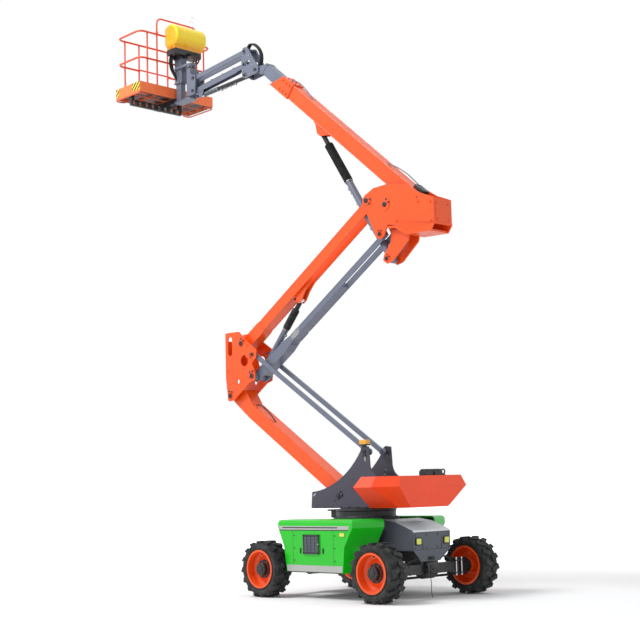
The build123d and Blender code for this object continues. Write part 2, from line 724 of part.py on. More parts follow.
bar_plane = boom_plane(level_pin, LOWER_RISER_ANGLE)
with BuildPart() as level_bars:
    for side in (1, -1):
        with BuildSketch(bar_plane.offset(side * BAR_Y[0])) as bar_profile:
            with Locations((LOWER_RISER_LENGTH / 2, 0)):
                SlotCenterToCenter(LOWER_RISER_LENGTH, BAR_DEPTH)
            with Locations((0, 0), (LOWER_RISER_LENGTH, 0)):
                Circle(LINK_PIN + 20)
        extrude(bar_profile.sketch, amount=side * (BAR_Y[1] - BAR_Y[0]))
    bore(level_pin, LINK_PIN + RUN)
    bore(knuckle_level_pin, LINK_PIN + RUN)

# Knuckle between the risers
knuckle_outline = [
    (-110, 1065),
    (240, 1060),
    (420, 890),
    (680, 720),
    (670, 590),
    (560, 500),
    (640, 330),
    (620, 220),
    (500, 190),
    (90, -80),
    (-60, -90),
    (-110, 300),
]
with BuildPart() as mid_knuckle:
    placed = [shifted(knuckle_pin, point) for point in knuckle_outline]
    plates(Plane.XZ, placed, *CHEEK, rounding=35)
    for centre, radius in (((374, 560), 95), ((210, 225), 40)):
        bore(shifted(knuckle_pin, centre), radius)
    for side in (1, -1):
        with BuildSketch(Plane.XZ.offset(side * CHEEK[0])) as slot_profile:
            with Locations(shifted(knuckle_pin, (10, 830))):
                SlotOverall(330, 110, rotation=90)
        extrude(slot_profile.sketch, amount=side * (CHEEK[1] - CHEEK[0]), mode=Mode.SUBTRACT)
    web = rectangle(-108, -90, 380, 930)
    block(Plane.XZ, [shifted(knuckle_pin, point) for point in web], CHEEK[0] + 5)
    cross_pin(knuckle_pin, RISER_PIN, CHEEK[1] + 12)
    cross_pin(upper_pin, RISER_PIN, CHEEK[1] + 12)
    cross_pin(link_pin, RISER_PIN, CHEEK[1] + 12)
    cross_pin(knuckle_level_pin, LINK_PIN, CHEEK[1] + 10, BAR_Y[0] - 12)

# Upper riser: a closed box from the knuckle, then a fork that the lift cylinder passes through
upper_plane = boom_plane(upper_pin, UPPER_RISER_ANGLE)
riser_half = UPPER_RISER_DEPTH / 2
with BuildPart() as upper_riser:
    block(
        upper_plane,
        [
            (-75, -60),
            (40, -riser_half - 20),
            (420, -riser_half - 20),
            (520, -riser_half),
            (UPPER_RISER_LENGTH - 60, -riser_half),
            (UPPER_RISER_LENGTH + 70, -40),
            (UPPER_RISER_LENGTH + 70, 40),
            (UPPER_RISER_LENGTH - 60, riser_half),
            (520, riser_half),
            (420, riser_half + 20),
            (40, riser_half + 20),
            (-75, 60),
        ],
        FORK[1],
    )
    block(
        upper_plane,
        rectangle(FORK_START, UPPER_RISER_LENGTH + 100, -200, 200),
        FORK[0],
        mode=Mode.SUBTRACT,
    )
    block(
        upper_plane,
        rectangle(160, FORK_START - 40, -riser_half + BEAM_WALL, riser_half - BEAM_WALL),
        FORK[1] - BEAM_WALL,
        mode=Mode.SUBTRACT,
    )
    eye_run, eye_rise = RISER_RAM_EYE
    plates(
        upper_plane,
        [
            (eye_run - 40, -riser_half),
            (eye_run - 62, eye_rise),
            (eye_run - 40, eye_rise - 45),
            (eye_run + 40, eye_rise - 45),
            (eye_run + 180, eye_rise + 20),
            (eye_run + 480, -riser_half),
        ],
        *EAR,
    )
    slot = rectangle(eye_run - 130, eye_run + 150, -riser_half - 5, -riser_half + BEAM_WALL + 5)
    block(upper_plane, slot, EYE_SLOT, mode=Mode.SUBTRACT)
    cross_pin(upper_pin, RISER_PIN + 30, CHEEK[0] - RUN)
    cross_pin(upright_pin, RISER_PIN + 28, CHEEK[0] - RUN, FORK[0])
    bore(upper_pin, RISER_PIN + RUN)
    bore(upright_pin, RISER_PIN + RUN)

# Levelling link under the upper riser
link_plane = boom_plane(link_pin, UPPER_RISER_ANGLE)
link_half = LINK_DEPTH / 2
with BuildPart() as upper_link:
    block(
        link_plane,
        [
            (-75, -70),
            (0, -95),
            (LINK_CHANNEL_END - 260, -95),
            (LINK_CHANNEL_END, -link_half),
            (UPPER_RISER_LENGTH + 55, -link_half),
            (UPPER_RISER_LENGTH + 55, link_half),
            (LINK_CHANNEL_END, link_half),
            (LINK_CHANNEL_END - 260, 80),
            (0, 80),
            (-75, 60),
        ],
        FORK[1],
    )
    block(
        link_plane,
        rectangle(-200, LINK_CHANNEL_END, -70, 200),
        FORK[0],
        mode=Mode.SUBTRACT,
    )
    block(
        link_plane,
        rectangle(-200, 140, -200, 200),
        FORK[0],
        mode=Mode.SUBTRACT,
    )
    block(
        link_plane,
        rectangle(LINK_FORK_START, UPPER_RISER_LENGTH + 100, -200, 200),
        FORK[0],
        mode=Mode.SUBTRACT,
    )
    block(
        link_plane,
        rectangle(
            LINK_CHANNEL_END + 40,
            LINK_FORK_START - 40,
            -link_half + BEAM_WALL,
            link_half - BEAM_WALL,
        ),
        FORK[1] - BEAM_WALL,
        mode=Mode.SUBTRACT,
    )
    cross_pin(link_pin, RISER_PIN + 28, CHEEK[0] - RUN, FORK[0])
    cross_pin(upright_link_pin, LINK_PIN + 22, CHEEK[0] - RUN, FORK[0])
    bore(link_pin, RISER_PIN + RUN)
    bore(upright_link_pin, LINK_PIN + RUN)

# Upright that carries the main boom
upright_outline = [
    (-85, 20),
    (-30, 85),
    (160, 165),
    (480, 175),
    (820, 100),
    (1080, -70),
    (1345, -180),
    (1345, -570),
    (1280, -660),
    (780, -640),
    (560, -470),
    (430, -440),
    (345, -600),
    (260, -645),
    (185, -590),
    (-75, -60),
]
bracket_outline = [
    (430, -520),
    (800, -560),
    (760, -720),
    (430, -985),
    (312, -1010),
    (235, -950),
    (260, -870),
    (400, -700),
]
with BuildPart() as upright:
    placed = [shifted(upright_pin, point) for point in upright_outline]
    plates(Plane.XZ, placed, *CHEEK, rounding=18)
    hook = [shifted(upright_pin, point) for point in bracket_outline]
    plates(Plane.XZ, hook, 95, 120)
    floor = [(430, -500), (560, -510), (790, -650), (1275, -668), (1275, -640), (800, -620), (570, -480), (430, -470)]
    block(Plane.XZ, [shifted(upright_pin, point) for point in floor], CHEEK[1])
    back = rectangle(1320, 1345, -570, -185)
    block(Plane.XZ, [shifted(upright_pin, point) for point in back], CHEEK[1])
    cross_pin(upright_pin, RISER_PIN, CHEEK[1] + 12, FORK[0] + 2)
    cross_pin(upright_link_pin, LINK_PIN, CHEEK[1] + 12, FORK[0] + 2)
    cross_pin(boom_pin, RISER_PIN, CHEEK[1] + 12)
    cross_pin(lift_base, LINK_PIN, 130)

# Cylinder that lifts the risers
riser_ram_angle = angle_between(link_pin, riser_eye)
riser_ram_plane = axis_plane(link_pin, riser_ram_angle)
riser_ram_span = distance(link_pin, riser_eye)
with BuildPart() as riser_barrel:
    cross_pin(link_pin, RISER_PIN + 22, FORK[0] - SIDE_GAP)
    round_stock(riser_ram_plane, 0, RISER_RAM_LENGTH, RISER_RAM_BARREL)
    round_stock(riser_ram_plane, 60, RISER_RAM_LENGTH + 60, RISER_RAM_ROD + RUN, mode=Mode.SUBTRACT)
    bore(link_pin, RISER_PIN + RUN)

with BuildPart() as riser_rod:
    round_stock(riser_ram_plane, 390, riser_ram_span - 20, RISER_RAM_ROD)
    cross_pin(riser_eye, RAM_EYE, RAM_TONGUE)

# Main boom, its lift cylinder and the telescoping section
main_plane = boom_plane(boom_pin, BOOM_ANGLE)
boom_low = BOOM_CENTRE - BOOM_DEPTH / 2
boom_high = BOOM_CENTRE + BOOM_DEPTH / 2
fly_low = BOOM_CENTRE - FLY_DEPTH / 2
fly_high = BOOM_CENTRE + FLY_DEPTH / 2
with BuildPart() as main_boom:
    block(main_plane, rectangle(BOOM_TAIL, BOOM_FRONT - 60, boom_low, boom_high), BOOM_HALF)
    block(
        main_plane,
        [
            (BOOM_FRONT - COLLAR_LENGTH, boom_low - COLLAR_LAND),
            (BOOM_FRONT + BOOM_SLANT, boom_low - COLLAR_LAND),
            (BOOM_FRONT - BOOM_SLANT, boom_high + COLLAR_LAND),
            (BOOM_FRONT - COLLAR_LENGTH, boom_high + COLLAR_LAND),
        ],
        BOOM_HALF + COLLAR_LAND,
    )
    block(
        main_plane,
        rectangle(BOOM_TAIL - 10, BOOM_FRONT - COLLAR_LENGTH, boom_low + BEAM_WALL, boom_high - BEAM_WALL),
        BOOM_HALF - BEAM_WALL,
        mode=Mode.SUBTRACT,
    )
    block(
        main_plane,
        rectangle(0, BOOM_FRONT + 300, fly_low - RUN, fly_high + RUN),
        FLY_HALF + RUN,
        mode=Mode.SUBTRACT,
    )
    plates(
        main_plane,
        [(-400, boom_low + 5), (-75, 10), (-40, -75), (40, -75), (85, 10), (270, boom_low + 5)],
        BOOM_HALF - 20,
        BOOM_HALF,
    )
    eye_run, eye_rise = LIFT_EYE
    plates(
        main_plane,
        [
            (eye_run - 260, boom_low),
            (eye_run - 50, eye_rise - 40),
            (eye_run + 40, eye_rise - 40),
            (eye_run + 220, boom_low),
        ],
        *EAR,
    )
    slot = rectangle(eye_run - 140, eye_run + 190, boom_low - 5, boom_low + BEAM_WALL + 5)
    block(main_plane, slot, EYE_SLOT, mode=Mode.SUBTRACT)
    cross_pin(boom_pin, RISER_PIN + 26, CHEEK[0] - RUN, BOOM_HALF - 20)
    bore(boom_pin, RISER_PIN + RUN)

lift_angle = angle_between(lift_base, lift_eye)
lift_plane = axis_plane(lift_base, lift_angle)
lift_span = distance(lift_base, lift_eye)
with BuildPart() as lift_barrel:
    cross_pin(lift_base, LINK_PIN + 28, FORK[0] - SIDE_GAP)
    round_stock(lift_plane, 0, LIFT_LENGTH, LIFT_BARREL)
    round_stock(lift_plane, 70, LIFT_LENGTH + 60, LIFT_ROD + RUN, mode=Mode.SUBTRACT)
    bore(lift_base, LINK_PIN + RUN)

with BuildPart() as lift_rod:
    round_stock(lift_plane, 560, lift_span - 20, LIFT_ROD)
    cross_pin(lift_eye, RAM_EYE, RAM_TONGUE)

with BuildPart() as fly_boom:
    block(main_plane, rectangle(FLY_REAR, FLY_FRONT, fly_low, fly_high), FLY_HALF)
    block(
        main_plane,
        rectangle(FLY_REAR - 10, FLY_FRONT - 12, fly_low + 8, fly_high - 8),
        FLY_HALF - 8,
        mode=Mode.SUBTRACT,
    )
    with BuildSketch(main_plane) as tip_profile:
        with BuildLine():
            Polyline(
                (FLY_FRONT - 20, fly_low),
                (HEAD_PIVOT[0], HEAD_PIVOT[1] - 60),
                (HEAD_PIVOT[0] + 45, HEAD_PIVOT[1]),
                (HEAD_PIVOT[0], HEAD_PIVOT[1] + 60),
                (FLY_FRONT - 20, fly_high),
                close=True,
            )
        make_face()
    extrude(tip_profile.sketch, amount=HEAD_CHEEK[0] - SIDE_GAP, both=True)
    bore(head_pin, JIB_PIN + RUN)

# Boom head and jib
with BuildPart() as boom_head:
    head_outline = [
        (60, -55),
        (70, 30),
        (-30, 170),
        (-200, 440),
        (-260, 462),
        (-325, 455),
        (-365, 250),
        (-360, 60),
        (-345, -60),
        (-270, -85),
        (-60, -70),
    ]
    plates(Plane.XZ, [shifted(head_pin, point) for point in head_outline], *HEAD_CHEEK, rounding=25)
    for point in (head_pin, jib_pin, jib_ram_base):
        cross_pin(point, JIB_PIN, HEAD_CHEEK[1] + 10)
    cross_pin(jib_link_pin, JIB_PIN, HEAD_CHEEK[1] + 10, JIB_LINK_Y[0])
    for side in (1, -1):
        with BuildSketch(Plane.XZ.offset(side * HEAD_CHEEK[0])) as window:
            with Locations(shifted(head_pin, (-190, 175))):
                Circle(42)
        extrude(window.sketch, amount=side * (HEAD_CHEEK[1] - HEAD_CHEEK[0]), mode=Mode.SUBTRACT)

jib_plane = boom_plane(jib_pin, JIB_ANGLE)
jib_half = JIB_ARM_DEPTH / 2
with BuildPart() as jib_arm:
    block(
        jib_plane,
        rectangle(-45, JIB_LENGTH + 45, -jib_half, jib_half),
        JIB_ARM_HALF,
    )
    block(
        jib_plane,
        rectangle(90, JIB_LENGTH - 90, -jib_half + 7, jib_half - 7),
        JIB_ARM_HALF - 7,
        mode=Mode.SUBTRACT,
    )
    block(
        jib_plane,
        rectangle(55, JIB_LENGTH - 55, -jib_half - 5, 0),
        JIB_ARM_HALF - 7,
        mode=Mode.SUBTRACT,
    )
    block(
        jib_plane,
        rectangle(-50, 60, -jib_half - 5, -jib_half + JIB_RELIEF),
        JIB_ARM_HALF + 5,
        mode=Mode.SUBTRACT,
    )
    block(
        jib_plane,
        rectangle(100, 260, -jib_half - 5, -jib_half + 14),
        JIB_ARM_HALF + 5,
        mode=Mode.SUBTRACT,
    )
    for point in (jib_pin, jib_end):
        cross_pin(point, JIB_PIN + 14, HEAD_CHEEK[0] - RUN)
        bore(point, JIB_PIN + RUN)
    eye_run, eye_rise = JIB_RAM_EYE
    plates(
        jib_plane,
        [
            (eye_run - 90, -jib_half),
            (eye_run - 34, eye_rise - 30),
            (eye_run + 34, eye_rise - 30),
            (eye_run + 90, -jib_half),
        ],
        30,
        44,
    )

jib_link_plane = boom_plane(jib_link_pin, JIB_ANGLE)
with BuildPart() as jib_links:
    for side in (1, -1):
        with BuildSketch(jib_link_plane.offset(side * JIB_LINK_Y[0])) as strap:
            with Locations((JIB_LENGTH / 2, 0)):
                SlotCenterToCenter(JIB_LENGTH, JIB_LINK_DEPTH)
            with Locations((0, 0), (JIB_LENGTH, 0)):
                Circle(JIB_PIN + 15)
        extrude(strap.sketch, amount=side * (JIB_LINK_Y[1] - JIB_LINK_Y[0]))
    bore(jib_link_pin, JIB_PIN + RUN)
    bore(jib_link_end, JIB_PIN + RUN)

jib_ram_angle = angle_between(jib_ram_base, jib_ram_eye)
jib_ram_plane = axis_plane(jib_ram_base, jib_ram_angle)
jib_ram_span = distance(jib_ram_base, jib_ram_eye)
with BuildPart() as jib_barrel:
    cross_pin(jib_ram_base, JIB_PIN + 16, HEAD_CHEEK[0] - SIDE_GAP)
    round_stock(jib_ram_plane, 0, JIB_RAM_LENGTH, JIB_BARREL)
    round_stock(jib_ram_plane, 50, JIB_RAM_LENGTH + 60, JIB_ROD + RUN, mode=Mode.SUBTRACT)
    bore(jib_ram_base, JIB_PIN + RUN)

with BuildPart() as jib_rod:
    round_stock(jib_ram_plane, 320, jib_ram_span - 10, JIB_ROD)
    cross_pin(jib_ram_eye, 30, 24)

# Platform rotator at the end of the jib
with BuildPart() as rotator:
    round_stock(Plane((rotator_x, 0, 0)), rotator_z[0], rotator_z[1], ROTATOR_RADIUS)
    outline = [
        (rotator_x, jib_end[1] - 60),
        (jib_end[0] - 30, jib_end[1] - 75),
        (jib_end[0] + 45, jib_end[1] - 40),
        (jib_link_end[0] + 55, jib_link_end[1] - 20),
        (jib_link_end[0] + 45, jib_link_end[1] + 45),
        (jib_link_end[0] - 40, jib_link_end[1] + 60),
        (rotator_x, rotator_z[1] - 60),
    ]
    plates(Plane.XZ, outline, *HEAD_CHEEK)
    web = rectangle(rotator_x, rotator_x + 105, jib_end[1] - 55, rotator_z[1] - 90)
    block(Plane.XZ, web, HEAD_CHEEK[1])
    cross_pin(jib_end, JIB_PIN, HEAD_CHEEK[1] + 10)
    cross_pin(jib_link_end, JIB_PIN, HEAD_CHEEK[1] + 10, JIB_LINK_Y[0])
    for low, high in ((rotator_z[0] - 5, rotator_z[0] + 60), (rotator_z[1] - 60, rotator_z[1] + 5)):
        round_stock(Plane((rotator_x, 0, 0)), low, high, ROTATOR_PIN + RUN, mode=Mode.SUBTRACT)

# Platform
base_low = floor_z - 130
base_high = floor_z - FLOOR_FRAME
with BuildPart() as platform_mast:
    neck_x = (post_x[0] + 28, post_x[1] - 34)
    box_between(post_x, (-POST_HALF, POST_HALF), (post_flange, post_top))
    box_between((post_x[0] - 8, post_x[1] + 12), (-POST_HALF - 16, POST_HALF + 16), (post_flange - 16, post_flange))
    box_between(neck_x, (-POST_HALF + 8, POST_HALF - 8), (base_low, post_flange))
    for level, inward in ((rotator_z[0] - RUN, -1), (rotator_z[1] + RUN, 1)):
        thickness = sorted((level, level + inward * 40))
        box_between((neck_x[0], rotator_x), (-90, 90), thickness)
        with Locations((rotator_x, 0, sum(thickness) / 2)):
            Cylinder(90, 40)
        pin_span = sorted((level, level - inward * 50))
        round_stock(Plane((rotator_x, 0, 0)), pin_span[0], pin_span[1], ROTATOR_PIN)

with BuildPart() as platform_base:
    box_between((platform_x[0] + 120, neck_x[0]), (-70, 70), (base_low, base_high))
    box_between(base_beam_x, BASE_BEAM_Y, (base_low - BASE_BEAM_DEPTH, base_low))
    for end_y in BASE_BEAM_Y:
        tab = sorted((end_y, end_y + (60 if end_y < 0 else -60)))
        box_between(base_beam_x, tab, (base_low, base_high))
    pitch = (BASE_BEAM_Y[1] - BASE_BEAM_Y[0]) / BASE_WINDOWS
    for index in range(BASE_WINDOWS):
        window_y = BASE_BEAM_Y[0] + pitch * (index + 0.5)
        box_between(
            (base_beam_x[0] - 5, base_beam_x[1] + 5),
            (window_y - pitch * 0.33, window_y + pitch * 0.33),
            (base_low - BASE_BEAM_DEPTH + 18, base_low - 22),
            mode=Mode.SUBTRACT,
        )

floor_low = floor_z - FLOOR_FRAME
with BuildPart() as platform_floor:
    box_between(platform_x, (-PLATFORM_HALF, PLATFORM_HALF), (floor_low, floor_z + FLOOR_SHEET))
    bay = (PLATFORM_HALF * 2 - 5 * FLOOR_FRAME) / 4
    for index in range(4):
        bay_y = -PLATFORM_HALF + FLOOR_FRAME + index * (bay + FLOOR_FRAME)
        box_between(
            (platform_x[0] + FLOOR_FRAME, platform_x[1] - FLOOR_FRAME),
            (bay_y, bay_y + bay),
            (floor_low - 5, floor_z),
            mode=Mode.SUBTRACT,
        )
    toe_top = floor_z + TOE_HEIGHT
    box_between(platform_x, (-PLATFORM_HALF, PLATFORM_HALF), (floor_z, toe_top))
    box_between(
        (platform_x[0] + TOE_THICKNESS, platform_x[1] - TOE_THICKNESS),
        (-PLATFORM_HALF + TOE_THICKNESS, PLATFORM_HALF - TOE_THICKNESS),
        (floor_z + FLOOR_SHEET, toe_top + 10),
        mode=Mode.SUBTRACT,
    )
    panel_x = (platform_x[0] + FLOOR_INSET, platform_x[1] - FLOOR_INSET)
    panel_half = PLATFORM_HALF - FLOOR_INSET
    box_between(panel_x, (-panel_half, panel_half), (floor_z, floor_z + FLOOR_SHEET + FLOOR_PANEL))

rail_x = (platform_x[0] + RAIL_RADIUS + TOE_THICKNESS + 1, platform_x[1] - RAIL_RADIUS - TOE_THICKNESS - 1)
rail_half = PLATFORM_HALF - RAIL_RADIUS - TOE_THICKNESS - 1
with BuildPart() as platform_rails:
    top_z = top_rail_z - RAIL_RADIUS
    ring = [(rail_x[0], rail_half), (rail_x[1], rail_half), (rail_x[1], -rail_half), (rail_x[0], -rail_half)]
    tube_run([(x, y, top_z) for x, y in ring], RAIL_RADIUS, RAIL_CORNER, close=True)
    open_ring = [(rail_x[0], GATE_Y[1]), *ring, (rail_x[0], GATE_Y[0])]
    tube_run([(x, y, mid_rail_z) for x, y in open_ring], RAIL_RADIUS, RAIL_CORNER)
    gate_x = rail_x[0] + 2 * RAIL_RADIUS + 8
    rest_top = mid_rail_z - GATE_RADIUS - RUN
    box_between((rail_x[0], gate_x + GATE_RADIUS), (GATE_Y[1] - 12, GATE_Y[1] + 12), (rest_top - 20, rest_top))
    post_points = [(rail_x[0], GATE_Y[0]), (rail_x[0], GATE_Y[1])]
    post_points += [(x, y) for x in rail_x for y in (-rail_half + POST_INSET, rail_half - POST_INSET)]
    post_points += [(rail_x[1], y) for y in GUARD_Y]
    for x, y in post_points:
        round_stock(Plane((x, y, 0)), floor_z + FLOOR_SHEET, top_rail_z - RAIL_RADIUS, RAIL_RADIUS - 3)
    guard_top = top_rail_z + 290
    tube_run(
        [
            (rail_x[1], GUARD_Y[0], top_rail_z - RAIL_RADIUS),
            (rail_x[1], GUARD_Y[0], guard_top),
            (rail_x[1], GUARD_Y[1], guard_top),
            (rail_x[1], GUARD_Y[1], top_rail_z - RAIL_RADIUS),
        ],
        RAIL_RADIUS - 2,
        RAIL_CORNER,
    )

with BuildPart() as gate_bar:
    along_y = Plane(origin=(gate_x, 0, mid_rail_z), z_dir=(0, 1, 0))
    round_stock(along_y, GATE_Y[0] - 25, GATE_Y[1] + 25, GATE_RADIUS)
    inward = Plane(origin=(rail_x[0], GATE_Y[0], mid_rail_z), z_dir=(1, 0, 0))
    round_stock(inward, RAIL_RADIUS + RUN, 2 * RAIL_RADIUS + 8, 12)

# Control console
with BuildPart() as console:
    tray_x = (post_x[0] + 10, post_x[1] + 50)
    box_between(post_x, (-90, 90), (post_top, post_top + 60))
    box_between(tray_x, (CONSOLE_Y[0] + 40, CONSOLE_Y[1] - 60), (post_top + 50, console_z[0] + 30))
    drum_x = (console_x[0] + console_x[1]) / 2
    drum_z = (console_z[0] + console_z[1]) / 2
    drum_radius = (console_z[1] - console_z[0]) / 2
    flat = console_x[0] - drum_x
    with BuildSketch(Plane.XZ.offset(-CONSOLE_Y[1])) as drum:
        with Locations((drum_x, drum_z)):
            Circle(drum_radius)
        with Locations((console_x[0] - 300, drum_z)):
            Rectangle(600, 2 * drum_radius, mode=Mode.SUBTRACT)
        with Locations((console_x[1] + 300, drum_z)):
            Rectangle(600, 2 * drum_radius, mode=Mode.SUBTRACT)
    drum_solid = extrude(drum.sketch, amount=CONSOLE_Y[1] - CONSOLE_Y[0])
    ends = drum_solid.faces().filter_by(Axis.Y)
    chamfer(ends.edges(), 30)

nodes = {
    "chassis_frame": chassis_frame,
    "side_covers": side_covers,
    "end_covers": end_covers,
    "lamps": lamps,
    "battery_packs": battery_packs,
    "axles": axles,
    "tie_rod": tie_rod,
    "turret": turret,
    "counterweight": counterweight,
    "lower_riser": lower_riser,
    "level_bars": level_bars,
    "mid_knuckle": mid_knuckle,
    "upper_riser": upper_riser,
    "upper_link": upper_link,
    "upright": upright,
    "riser_barrel": riser_barrel,
    "riser_rod": riser_rod,
    "main_boom": main_boom,
    "lift_barrel": lift_barrel,
    "lift_rod": lift_rod,
    "fly_boom": fly_boom,
    "boom_head": boom_head,
    "jib_arm": jib_arm,
    "jib_links": jib_links,
    "jib_barrel": jib_barrel,
    "jib_rod": jib_rod,
    "rotator": rotator,
    "platform_mast": platform_mast,
    "platform_base": platform_base,
    "platform_floor": platform_floor,
    "platform_rails": platform_rails,
    "gate_bar": gate_bar,
    "console": console,
    **wheel_parts,
    **knuckle_parts,
    **hatch_parts,
}
os.makedirs("parts", exist_ok=True)
for name, piece in nodes.items():
    piece.part.label = name
    export_step(piece.part, f"parts/{name}.step")
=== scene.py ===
"""Finishes, fasteners, sleeves, hoses and controls for an articulating boom lift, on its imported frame."""
import contextlib
import json
import math
from itertools import product

import bmesh
import bpy
from bpy.props import FloatProperty, FloatVectorProperty, IntProperty, PointerProperty
from mathutils import Matrix, Vector


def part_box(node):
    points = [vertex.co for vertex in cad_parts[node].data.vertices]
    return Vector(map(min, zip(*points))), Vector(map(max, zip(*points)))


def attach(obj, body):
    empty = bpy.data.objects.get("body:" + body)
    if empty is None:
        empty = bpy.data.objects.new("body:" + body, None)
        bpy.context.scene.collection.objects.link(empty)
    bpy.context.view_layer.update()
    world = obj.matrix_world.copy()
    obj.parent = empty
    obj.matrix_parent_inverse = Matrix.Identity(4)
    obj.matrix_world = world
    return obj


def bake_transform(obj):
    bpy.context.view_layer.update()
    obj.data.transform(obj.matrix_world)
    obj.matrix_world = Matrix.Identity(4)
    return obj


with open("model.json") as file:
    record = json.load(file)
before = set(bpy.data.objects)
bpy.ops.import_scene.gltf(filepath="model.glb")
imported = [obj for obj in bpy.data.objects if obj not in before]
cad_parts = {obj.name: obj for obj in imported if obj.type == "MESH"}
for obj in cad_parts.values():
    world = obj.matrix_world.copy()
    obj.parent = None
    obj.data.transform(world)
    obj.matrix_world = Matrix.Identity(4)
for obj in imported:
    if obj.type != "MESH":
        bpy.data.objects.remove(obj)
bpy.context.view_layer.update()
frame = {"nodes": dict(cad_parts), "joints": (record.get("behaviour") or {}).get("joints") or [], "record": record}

bl_info = {
    "name": "Boom Lift Dressing",
    "version": (1, 0, 0),
    "blender": (4, 5, 0),
    "location": "View3D > Sidebar > Boom Lift",
    "description": "Paints an articulating boom lift and adds its fasteners, sleeves, hoses and controls",
    "category": "Object",
}

ORIGIN = Vector((0, 0, 0))
FORWARD = Vector((1, 0, 0))
ACROSS = Vector((0, 1, 0))
UP = Vector((0, 0, 1))
BOTH = (1, -1)
SIDES = (("left", 1), ("right", -1))
PIVOT = {joint["name"]: Vector(joint["pos_m"]) for joint in frame["joints"] if joint.get("pos_m")}
AXIS = {joint["name"]: Vector(joint["axis"]) for joint in frame["joints"]}
LOWER = PIVOT["riser_lift"]
LEVEL = PIVOT["level_bars"]
ELBOW = PIVOT["mid_knuckle"]
ELBOW_LEVEL = ELBOW + LEVEL - LOWER
UPPER = PIVOT["upper_riser"]
LINK = PIVOT["upper_link"]
TOWER = PIVOT["upright"]
TOWER_LINK = TOWER + LINK - UPPER
BOOM = PIVOT["boom_lift"]
RAM_BASE = PIVOT["lift_barrel"]
HEAD = PIVOT["head_level"]
JIB = PIVOT["jib_lift"]
JIB_LINK = PIVOT["jib_links"]
JIB_RAM = PIVOT["jib_barrel"]
JIB_END = PIVOT["platform_level"]
JIB_LINK_END = JIB_END + JIB_LINK - JIB


def srgb(red, green, blue):
    """Turn 0-255 screen values into the linear values that shaders use."""
    def linear(value):
        value /= 255
        return value / 12.92 if value <= 0.04045 else ((value + 0.055) / 1.055) ** 2.4
    return linear(red), linear(green), linear(blue)


def colour_property(name, text, red, green, blue):
    """Make a colour setting with a screen-value default."""
    return FloatVectorProperty(
        name=name, description=text, subtype="COLOR", size=3, min=0, max=1, default=srgb(red, green, blue)
    )


def place_property(name, text, place):
    """Make a setting for a place."""
    return FloatVectorProperty(name=name, description=text, subtype="TRANSLATION", size=3, default=place)


def angle_property(name, text, degrees):
    """Make a setting for an angle."""
    return FloatProperty(name=name, description=text, subtype="ANGLE", default=math.radians(degrees))


class BoomLiftColours(bpy.types.PropertyGroup):
    """Colours of the machine's finishes."""
    boom: colour_property("Boom orange", "Paint of the booms, knuckle and upright", 240, 82, 6)
    weight: colour_property("Counterweight orange", "Paint of the counterweight", 246, 68, 4)
    rail: colour_property("Rail red", "Paint of the platform's rails", 230, 84, 48)
    # Painted light: lighter than the boom orange, a lit copy of the paint that brightens the toe boards' shaded
    # faces
    floor: colour_property("Floor red", "Paint of the platform's floor", 255, 122, 62)
    turret: colour_property("Turret gray", "Paint of the turret", 64, 60, 76)
    link: colour_property("Link gray", "Paint of the links, jib and mast", 102, 108, 125)
    cover: colour_property("Cover green", "Moulded side covers", 10, 194, 18)
    end: colour_property("End gray", "Moulded end covers", 80, 86, 96)
    console: colour_property("Console yellow", "Moulded cover of the console", 255, 222, 40)
    black: colour_property("Frame black", "Paint of the frame, axles and barrels", 30, 31, 34)
    rubber: colour_property("Rubber", "Tyres, sleeves and hoses", 28, 30, 32)
    dust: colour_property("Dust", "Dry dust on the running gear", 128, 126, 122)
    band: colour_property("Band gray", "Pale bands along the side covers", 178, 180, 176)
    amber: colour_property("Amber", "Lens of the beacon", 250, 176, 24)
    # Painted shade: a deeper, more orange yellow that stands for shade on the console's shell, the drum's ends and
    # the drum's lower side
    gold: colour_property("Console gold", "Lower side and ends of the console's drum", 250, 168, 20)
    # Painted highlight: a pale colour that stands for the sky's reflection on the end covers' upward faces
    bloom: colour_property("Bloom", "Bleached tops of the end covers", 232, 234, 238)
    lens: colour_property("Lamp lens", "Lenses of the lamps and markers", 222, 226, 92)
    # Painted shade: the floor's downward faces take this dark colour in place of the shade under the platform
    under: colour_property("Underside", "Bare underside of the platform's floor", 70, 54, 56)


class BoomLiftStage(bpy.types.PropertyGroup):
    """Camera and light."""
    eye: place_property("Camera place", "Where the camera stands", (14.022, -14.261, 1.642))
    heading: angle_property("Heading", "Camera's turn to the left of +Y", 46.295)
    pitch: angle_property("Pitch", "Camera's tilt above the horizon", 7.206)
    roll: angle_property("Roll", "Camera's roll about its view", -1.5306)
    lens: FloatProperty(name="Lens", description="Focal length in mm on a 36 mm sensor", default=73.69)
    sky: FloatProperty(name="Sky", description="Strength of the sky's light on the object", default=0.78)
    key: FloatProperty(name="Key", description="Strength of the soft lamp", subtype="POWER", default=3300)
    lamp: place_property("Lamp place", "Where the large soft lamp hangs", (-7.0, -12.0, 20.0))
    aim: place_property("Lamp aim", "The point that the large soft lamp faces", (-1.5, 0.0, 4.0))
    fade: FloatVectorProperty(
        name="Floor fade", description="Distances where the floor turns plain white", size=2, default=(5, 14)
    )
    floor_half: FloatProperty(
        name="Floor half", description="Half the floor's width", subtype="DISTANCE", default=60
    )


class BoomLiftSizes(bpy.types.PropertyGroup):
    """Sizes and numbers of the small pieces."""
    nut: FloatProperty(
        name="Wheel nut", description="Width across a wheel nut's flats", subtype="DISTANCE", default=0.0216
    )
    nuts: IntProperty(name="Wheel nuts", description="Nuts on each wheel", default=9, min=3)
    pleats: IntProperty(name="Pleats", description="Pleats of a rod's sleeve", default=34, min=4)


# Shader node groups


